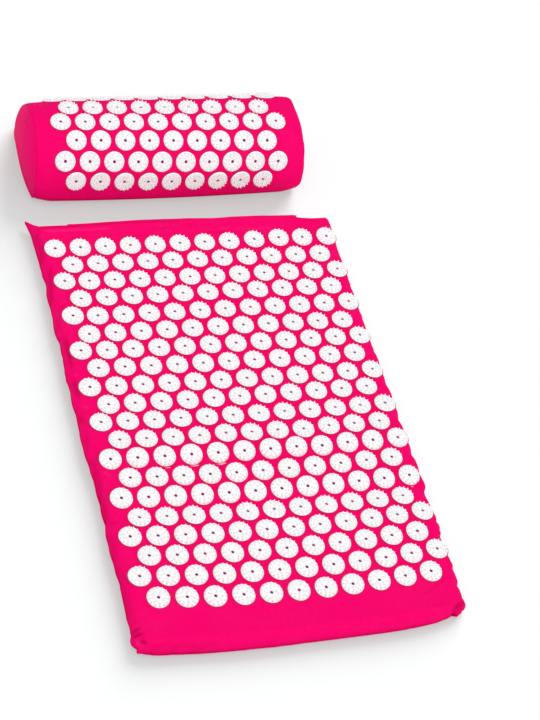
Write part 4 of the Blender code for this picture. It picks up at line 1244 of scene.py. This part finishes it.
def baseLine(x, lip=8, flat=36):
    front = [basePoint(x, i / lip, -1) for i in range(lip + 1)]
    back = [basePoint(x, i / lip, 1) for i in range(lip, -1, -1)]
    return front + [front[-1].lerp(back[0], i / flat) for i in range(1, flat)] + back


def buildPillowBase():
    rows = [[pillowPlace @ spot for spot in baseLine(x)] for x in pillowStations()[::2]]
    flats = [[(spot.x, spot.y) for spot in row] for row in rows]
    work = bmesh.new()
    clothGrid(work, rows, flats)
    made = addPiece("pillowBase", work, [cottonSolePaintedShade], "pillow", ["pillow_base"],
                    closed=False)
    thicken(made, pillow["cloth"])


def buildPillowEnd(side, name, node):
    # A soft bulging end panel, gathered a little where it meets the cover's end
    half = pillow["halfLength"]
    x = side * half
    steps = 120
    front = archLength(footAngle(pillow["seam"]))
    back = archLengths[-1] - front
    outline = []
    for i in range(steps + 1):
        outline.append(pillowPoint(x, mix(front, back, i / steps)))
    base = baseLine(x, flat=30)[1:-1]
    outline += [Vector((x, spot.y, max(spot.z, 0.0004))) for spot in reversed(base)]
    middle = Vector((x, 0, pillow["height"] * pillow["bulgeHeight"]))
    rings = 22
    rows, flats = [], []
    for k in range(rings):
        share = 1 - k / rings
        row = []
        for spot in outline:
            here = middle.lerp(spot, share * mix(0.998, 0.991, ease((spot.z - 0.008) / 0.006)))
            angle = math.atan2(here.z - middle.z, here.y)
            upper = ease((math.sin(angle) + 0.6) / 1.2)
            power = mix(1.9, pillow["bulgePower"][side > 0], upper)
            bulge = pillow["bulge"][side > 0] * (1 - share ** power) * mix(0.95, 0.85, upper)
            pulls = pillow["endGather"] * grain(angle * 0.05, share * 0.01, 0.012, 5.0) \
                * hump(share - 0.80, 0.26) * upper
            dents = pillow["endDent"] * grain(here.y, here.z, 0.035, 8.0) * (1 - share ** 2)
            here.x = mix(x, spot.x, share) \
                + side * (0.0002 + bulge + pulls + dents - 0.0008 * share ** 12)
            row.append(here)
        rows.append([pillowPlace @ spot for spot in row])
        flats.append([(spot.y, spot.z) for spot in row])
    work = bmesh.new()
    grid = clothGrid(work, rows, flats, closed=True, flip=side < 0)
    layer = work.loops.layers.uv["cloth"]
    inner, last = grid[-1], flats[-1]
    tip = sum((vert.co for vert in inner), Vector()) / len(inner)
    tip = work.verts.new(tip + pillowPlace.to_3x3() @ Vector((side * 0.00002, 0, 0)))
    for i in range(len(inner)):
        j = (i + 1) % len(inner)
        corners = [(inner[i], last[i]), (inner[j], last[j]), (tip, (0, middle.z))]
        if side < 0:
            corners.reverse()
        face = work.faces.new([vert for vert, flat in corners])
        for loop, (vert, flat) in zip(face.loops, corners):
            loop[layer].uv = flat
    made = addPiece(name, work, [cottonEndPaintedShade], "pillow", [node], closed=False)
    thicken(made, pillow["cloth"])


def buildPillowFoam():
    # The foam follows its cover, a little inside it
    half, foot = pillow["halfLength"] - pillow["foamInset"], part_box("pillow_foam_core")[0][2]
    soft = 0.016
    ends = [half - e for e in insets(soft, 6)]
    places = [-p for p in ends] + [mix(-ends[-1], ends[-1], i / 24) for i in range(1, 24)] \
        + list(reversed(ends))
    front = archLength(footAngle(foot))
    rows = []
    for x in places:
        edge = max(0.0, 1 - (half - abs(x)) / soft)
        inset = pillow["foamInset"] + 0.006 * (1 - math.sqrt(max(0.0, 1 - edge * edge)))
        row = []
        for i in range(49):
            length = mix(front, archLengths[-1] - front, i / 48)
            place, slope = archAt(length)
            spot = archPlace(x, place.x, place.y)
            # further in by the zip, low in the back wall
            clear = inset + 0.0025 * (1 - ease(place.y / 0.016))
            spot -= Vector((0, -math.sin(slope), math.cos(slope))) * clear
            spot.x, spot.z = x, max(foot + 0.0015, spot.z)
            row.append(spot)
        first, last = row[0], row[-1]
        for share in (0.02, 0.35, 0.65, 0.98):
            row.append(Vector((x, mix(last.y, first.y, share), foot)))
        rows.append([pillowPlace @ spot for spot in row])
    work = bmesh.new()
    grid = clothGrid(work, rows, [[(p.x, p.z) for p in row] for row in rows], closed=True)
    work.faces.new(grid[0])
    work.faces.new(list(reversed(grid[-1])))
    made = addPiece("pillowFoam", work, [creamFoam], "pillow", ["pillow_foam_core"],
                    sharp=50)


print("pillow")
pillowDiscs = pillowDiscFrames()
pillowSquares = sortDiscs(pillowDiscs)
buildPillowCover()
buildPillowBase()
buildPillowEnd(-1, "pillowEndLeft", "pillow_end_left")
buildPillowEnd(1, "pillowEndRight", "pillow_end_right")
buildPillowFoam()
buildDiscs(pillowDiscs, "pillow")


# Zips

zipLook = {
    "coilPitch": 0.00125,
    "coilThread": 0.00030,
    "coilReach": 0.00006,          # how far the loops of one coil cross the middle
    "tapeGap": 0.0001,             # from the middle to a tape's edge, inside its coil
    "tapeOver": 0.0045,            # past the stops, under the cover
    "stitchLength": 0.0024,
    "stitchPitch": 0.0034,
    "stitchThread": 0.00026,
    "stitchSetBack": 0.0022,       # from the opening's edge
    "handleHole": 0.0012,          # half width of the hole in the pull tab
    "plate": 0.001,                # thickness of the slider's plates
    "tabThick": 0.0005,            # half the thickness of the pull tab
}


def tube(work, points, radii, sides):
    # A round thread through the points, closed at both ends
    rings = []
    up = Vector((0.13, 0.31, 0.94)).normalized()
    for i, point in enumerate(points):
        run = points[min(i + 1, len(points) - 1)] - points[max(i - 1, 0)]
        side = run.cross(up).normalized()
        top = side.cross(run).normalized()
        up = top
        rings.append([work.verts.new(point + (side * math.cos(a) + top * math.sin(a)) * radii[i])
                      for a in (math.tau * k / sides for k in range(sides))])
    for low, high in zip(rings, rings[1:]):
        joinRings(work, low, high)
    work.faces.new(list(reversed(rings[0])))
    work.faces.new(rings[-1])


def slab(work, outline, low, high, soft, place, hole=None):
    # A plate with softened rims in the X and Z of its place, between two depths along Y
    def loops(line, inwards):
        count = len(line)
        found = []
        for depth, inset in ((low, soft), (low + soft * 0.3, soft * 0.3), (low + soft, 0),
                             (high - soft, 0), (high - soft * 0.3, soft * 0.3), (high, soft)):
            ring = []
            for i in range(count):
                before, here, after = line[i - 1], line[i], line[(i + 1) % count]
                run = (after - before).normalized()
                inner = Vector((-run.y, run.x)) * inset * inwards
                spot = here + inner
                ring.append(work.verts.new(place @ Vector((spot.x, depth, spot.y))))
            found.append(ring)
        for a, b in zip(found, found[1:]):
            joinRings(work, a, b)
        return found[0], found[-1]

    outerLow, outerHigh = loops(outline, 1)
    if hole:
        innerLow, innerHigh = loops(hole, -1)
        joinRings(work, outerHigh, innerHigh)
        joinRings(work, innerLow, outerLow)
    else:
        work.faces.new(outerLow)
        work.faces.new(outerHigh)


def roundedOutline(low, high, square, count=36):
    # Rounded rectangle; square is nought for an oval and near 1 for sharp corners
    middle = (Vector(low) + Vector(high)) / 2
    half = (Vector(high) - Vector(low)) / 2
    power = 1 - square
    points = []
    for i in range(count):
        a = math.tau * i / count
        c, s = math.cos(a), math.sin(a)
        points.append(middle + Vector((math.copysign(abs(c) ** power, c) * half.x,
                                       math.copysign(abs(s) ** power, s) * half.y)))
    return points


def localBox(node, place):
    turn = place.inverted()
    spots = [turn @ vert.co for vert in bpy.data.objects[node].data.vertices]
    return (Vector([min(spot[k] for spot in spots) for k in range(3)]),
            Vector([max(spot[k] for spot in spots) for k in range(3)]))


def addCoil(node, name, place, side, body):
    # A flattened nylon spiral along the edge of its tape
    low, high = localBox(node, place)
    pitch, thread = zipLook["coilPitch"], zipLook["coilThread"]
    inner = -zipLook["coilReach"]
    outer = max(abs(low.z), abs(high.z)) - thread
    zMiddle, zReach = (inner + outer) / 2, (outer - inner) / 2
    yMiddle, yReach = (low.y + high.y) / 2, (high.y - low.y) / 2 - thread
    steps = 9
    turns = int((high.x - low.x - 2 * thread) / pitch)
    points = []
    for i in range(turns * steps + 1):
        a = math.tau * i / steps
        flatZ = math.copysign(abs(math.cos(a)) ** 0.7, math.cos(a))
        x = low.x + thread + pitch * (i / steps + (0.5 if side < 0 else 0.0))
        points.append(place @ Vector((min(x, high.x - thread), yMiddle + yReach * math.sin(a),
                                      side * (zMiddle - zReach * flatZ))))
    work = bmesh.new()
    tube(work, points, [thread] * len(points), 5)
    addPiece(name, work, [zipNylon], body, [node])


def addTape(node, name, place, body):
    # A thin woven tape, a little wavy away from the coil
    low, high = localBox(node, place)
    upper = low.z > 0
    low.x, high.x = low.x - zipLook["tapeOver"], high.x + zipLook["tapeOver"]
    if upper:
        low.z = zipLook["tapeGap"]
    else:
        high.z = -zipLook["tapeGap"]
    steps, rise = 150, 8
    work = bmesh.new()
    rows, flats = [], []
    for j in range(rise + 1):
        v = j / rise
        z = mix(low.z, high.z, v)
        away = v if upper else 1 - v
        row = []
        for i in range(steps + 1):
            x = mix(low.x, high.x, i / steps)
            wave = 0.00018 * away * grain(x, z, 0.012, 3.0)
            row.append(place @ Vector((x, high.y - 0.0001 + wave, z)))
        rows.append(row)
        flats.append([(mix(low.x, high.x, i / steps), z) for i in range(steps + 1)])
    clothGrid(work, rows, flats)
    made = addPiece(name, work, [zipTape], body, [node], closed=False)
    thicken(made, high.y - low.y - 0.0002)


def addStop(node, name, place, body):
    # A metal clamp bent round the ends of the coils
    low, high = localBox(node, place)
    work = bmesh.new()
    clamp = roundedOutline((low.x, low.z), (high.x, high.z), 0.72, 28)
    slab(work, clamp, low.y, high.y, 0.0003, place)
    middle = (low.x + high.x) / 2
    for side in (-1, 1):
        z = side * (high.z - 0.0006)
        outline = roundedOutline((middle - 0.0008, z - 0.0005), (middle + 0.0008, z + 0.0005), 0.6, 16)
        slab(work, outline, high.y - 0.0001, high.y + 0.0003, 0.00015, place)
    addPiece(name, work, [zipNickel], body, [node], sharp=40)


def addSlider(node, name, place, body, pin):
    # Two shield-shaped plates with the web between, a pair of lugs and the hinge pin
    low, high = localBox(node, place)
    middle = (low.x + high.x) / 2
    half, tall = (high.x - low.x) / 2, high.z
    outline = []
    for spot in roundedOutline((-half, -tall), (half, tall), 0.55, 44):
        narrow = 1 - 0.16 * ease((spot.x / half + 0.2) / 1.2)
        outline.append(Vector((middle + spot.x, spot.y * narrow)))
    outer = localBox(node.replace("slider", "coil_upper"), place)[1].y + 0.0003
    work = bmesh.new()
    for under in (outer, low.y):
        slab(work, outline, under, under + zipLook["plate"], 0.0003, place)
    web = roundedOutline((middle - 0.0015, -0.0002), (middle + 0.0015, 0.0002), 0.3, 20)
    slab(work, web, low.y + 0.0008, outer + 0.0002, 0.00005, place)
    turned = place @ Matrix.Translation((middle, pin.y, 0)) @ Matrix.Rotation(math.pi / 2, 4, "X")
    for side in (-1, 1):
        # the lugs stand on the outer plate and are round over the pin
        reach = pin.y - outer - 0.0006
        arch = [Vector((-0.0017, reach)), Vector((-0.0017, 0.3 * reach))]
        arch += [Vector((-0.0018 * math.cos(a), -0.0018 * math.sin(a)))
                 for a in (math.pi * i / 12 for i in range(13))]
        arch += [Vector((0.0017, 0.3 * reach)), Vector((0.0017, reach))]
        lows = sorted((side * 0.00205, side * 0.00295))
        slab(work, [Vector((v.x, -v.y)) for v in arch], lows[0], lows[1], 0.0002,
             turned @ Matrix.Scale(-1, 4, (0, 1, 0)) @ Matrix.Scale(-1, 4, (0, 0, 1)))
    ends = [Vector((middle, pin.y, z)) for z in (-0.0031, -0.00295, 0.00295, 0.0031)]
    tube(work, [place @ e for e in ends], [0.0005, 0.0008, 0.0008, 0.0005], 16)
    addPiece(name, work, [zipNickel], body, [node], sharp=35)


def addPull(node, name, place, body, pin):
    # An eye round the pin, a neck and a rounded tab with a hole near its end
    low, high = localBox(node, place)
    thick = zipLook["tabThick"]
    tab = roundedOutline((pin.x + 0.0052, low.z), (high.x, high.z), 0.62, 48)
    gap = zipLook["handleHole"]
    hole = roundedOutline((high.x - 0.0072, -gap), (high.x - 0.0022, gap), 0.35, 48)
    work = bmesh.new()
    slab(work, tab, pin.y - thick, pin.y + thick, 0.00022, place, hole=hole)
    neck = roundedOutline((pin.x + 0.0013, -0.0017), (pin.x + 0.0062, 0.0017), 0.7, 28)
    slab(work, neck, pin.y - thick * 0.9, pin.y + thick * 0.9, 0.0002, place)
    rings = []
    for r, z in ((0.0011, -0.0016), (0.0013, -0.0017), (0.0016, -0.0017), (0.0018, -0.0015),
                 (0.0018, 0.0015), (0.0016, 0.0017), (0.0013, 0.0017), (0.0011, 0.0016)):
        rings.append([work.verts.new(place @ Vector((pin.x + r * math.cos(a),
                                                     pin.y + r * math.sin(a), z)))
                      for a in (math.tau * i / 24 for i in range(24))])
    for a, b in zip(rings, rings[1:] + rings[:1]):
        joinRings(work, a, b)
    addPiece(name, work, [zipNickel], body, [node], sharp=35)


def addStitches(name, line, body):
    # Short threads laid end to end, sunk a little at both ends; line gives places and outward ways
    work = bmesh.new()
    thread, length = zipLook["stitchThread"], zipLook["stitchLength"]
    for spot, along, out in line:
        points = [spot + along * (length * (t - 0.5)) + out * (thread * lift)
                  for t, lift in ((0.0, -0.7), (0.16, 0.1), (0.5, 0.45), (0.84, 0.1), (1.0, -0.7))]
        tube(work, points, [thread * k for k in (0.6, 0.95, 1.0, 0.95, 0.6)], 6)
    addPiece(name, work, [pinkThread], body)


def buildZip(prefix, place, body):
    slider, pull = f"{body}_slider", f"{body}_pull"
    addCoil(f"{prefix}_zip_coil_upper", f"{prefix}CoilUpper", place, 1, body)
    addCoil(f"{prefix}_zip_coil_lower", f"{prefix}CoilLower", place, -1, body)
    addTape(f"{prefix}_zip_tape_upper", f"{prefix}TapeUpper", place, body)
    addTape(f"{prefix}_zip_tape_lower", f"{prefix}TapeLower", place, body)
    addStop(f"{prefix}_zip_stop_left", f"{prefix}StopLeft", place, body)
    addStop(f"{prefix}_zip_stop_right", f"{prefix}StopRight", place, body)
    low, high = localBox(f"{prefix}_zip_pull", place)
    pin = Vector((low.x + 0.0018, (low.y + high.y) / 2, 0))
    addSlider(f"{prefix}_zip_slider", f"{prefix}Slider", place, slider, pin)
    addPull(f"{prefix}_zip_pull", f"{prefix}Pull", place, pull, pin)


def stitchPlaces(half):
    count = round(2 * half / zipLook["stitchPitch"])
    return [mix(-half, half, i / count) for i in range(count + 1)]


def matStitches(point, name):
    # A row of stitches over the cover's edge along the opening, found on the cover's own surface
    back = zipLook["stitchSetBack"]
    line = []
    for x in stitchPlaces(mat["zipHalf"] + 0.003):
        def on(share, shift=0.0):
            inset = mat["farRound"] * (1 - math.cos(math.pi / 2 * share))
            return point(x + shift, mat["halfLength"] - inset, share * mat["rollSteps"])
        share = 0.0
        while (on(share) - on(0.0)).length < back:
            share += 0.01
        spot = on(share)
        along = (on(share, 0.001) - spot).normalized()
        up = (on(share + 0.02) - spot).normalized()
        out = along.cross(up).normalized()
        line.append((spot, along, out if out.y > 0 else -out))
    addStitches(name, line, "mat")


def pillowStitches():
    # The same above and below the pillow's opening
    back = zipLook["stitchSetBack"]
    upper, lower = [], []
    along = (pillowPlace.to_3x3() @ Vector((1, 0, 0))).normalized()
    for x in stitchPlaces(pillow["zipHalf"] + 0.003):
        lift = mix(pillow["seamGap"] / 2, pillow["zipHalfOpen"], atPillowZip(x))
        length = archLengths[-1] - archLength(footAngle(pillow["seam"] + lift)) - back
        place, slope = archAt(length)
        out = pillowPlace.to_3x3() @ Vector((0, -math.sin(slope), math.cos(slope)))
        upper.append((pillowPlace @ archPlace(x, place.x, place.y), along, out))
        a, b = basePoint(x, 0.34, 1), basePoint(x, 0.36, 1)
        down = pillowPlace.to_3x3() @ (b - a)
        out = along.cross(down).normalized()
        lower.append((pillowPlace @ basePoint(x, 0.35, 1), along, out if out.y > 0 else -out))
    addStitches("pillowStitchesUpper", upper, "pillow")
    addStitches("pillowStitchesLower", lower, "pillow")


print("zips")
buildZip("mat", Matrix.Translation((0, mat["halfLength"], mat["seam"])), "mat")
buildZip("pillow", pillowPlace @ Matrix.Translation((0, pillowWall, pillow["seam"])), "pillow")
matStitches(coverPoint, "matStitchesUpper")
matStitches(solePoint, "matStitchesLower")
pillowStitches()


def addLights(floor):
    shade = Shade(bpy.context.scene.world, "ShaderNodeOutputWorld")
    sky = shade.node("ShaderNodeBackground", None, {"Color": white, "Strength": studio["skyLight"]})
    plain = shade.node("ShaderNodeBackground", None, {"Color": white, "Strength": 1.0})
    shade.finish(shade.node("ShaderNodeMixShader", None,
                            {0: shade.plainlySeen(), 1: sky, 2: plain}))
    for name, values in studio["lamps"].items():
        lamp = bpy.data.lights.new(name, "SUN")
        lamp.energy = values["power"]
        lamp.angle = math.radians(values["spread"])
        made = bpy.data.objects.new(name, lamp)
        made.rotation_euler = [math.radians(a) for a in values["turn"]]
        bpy.context.scene.collection.objects.link(made)
        if name == "key":
            linked = bpy.data.collections.new("keyLights")
            linked.objects.link(floor)
            made.light_linking.receiver_collection = linked


def addFloor():
    shade = newMaterial("paleFloor")
    plain = shade.node("ShaderNodeBsdfDiffuse", None, {"Color": studio["floorColour"]})
    own = shade.node("ShaderNodeEmission", None, {"Color": white, "Strength": 1.0})
    share = shade.plainlySeen() * studio["floorOwnLight"]
    shade.finish(shade.node("ShaderNodeMixShader", None, {0: share, 1: plain, 2: own}))
    size = studio["floorSize"] / 2
    mesh = bpy.data.meshes.new("floor")
    mesh.from_pydata([(-size, -size, 0), (size, -size, 0), (size, size, 0), (-size, size, 0)],
                     [], [(0, 1, 2, 3)])
    mesh.materials.append(shade.owner)
    floor = bpy.data.objects.new("floor", mesh)
    bpy.context.scene.collection.objects.link(floor)
    return floor


def addCamera():
    lens = bpy.data.cameras.new("camera")
    lens.lens = studio["lens"]
    made = bpy.data.objects.new("camera", lens)
    made.location = studio["cameraPlace"]
    made.rotation_euler = [math.radians(a) for a in studio["cameraTurn"]]
    bpy.context.scene.collection.objects.link(made)
    bpy.context.scene.camera = made


print("studio")
scene = bpy.context.scene
if scene.world is None:
    scene.world = bpy.data.worlds.new("world")
addLights(addFloor())
addCamera()
scene.view_settings.view_transform = "Standard"
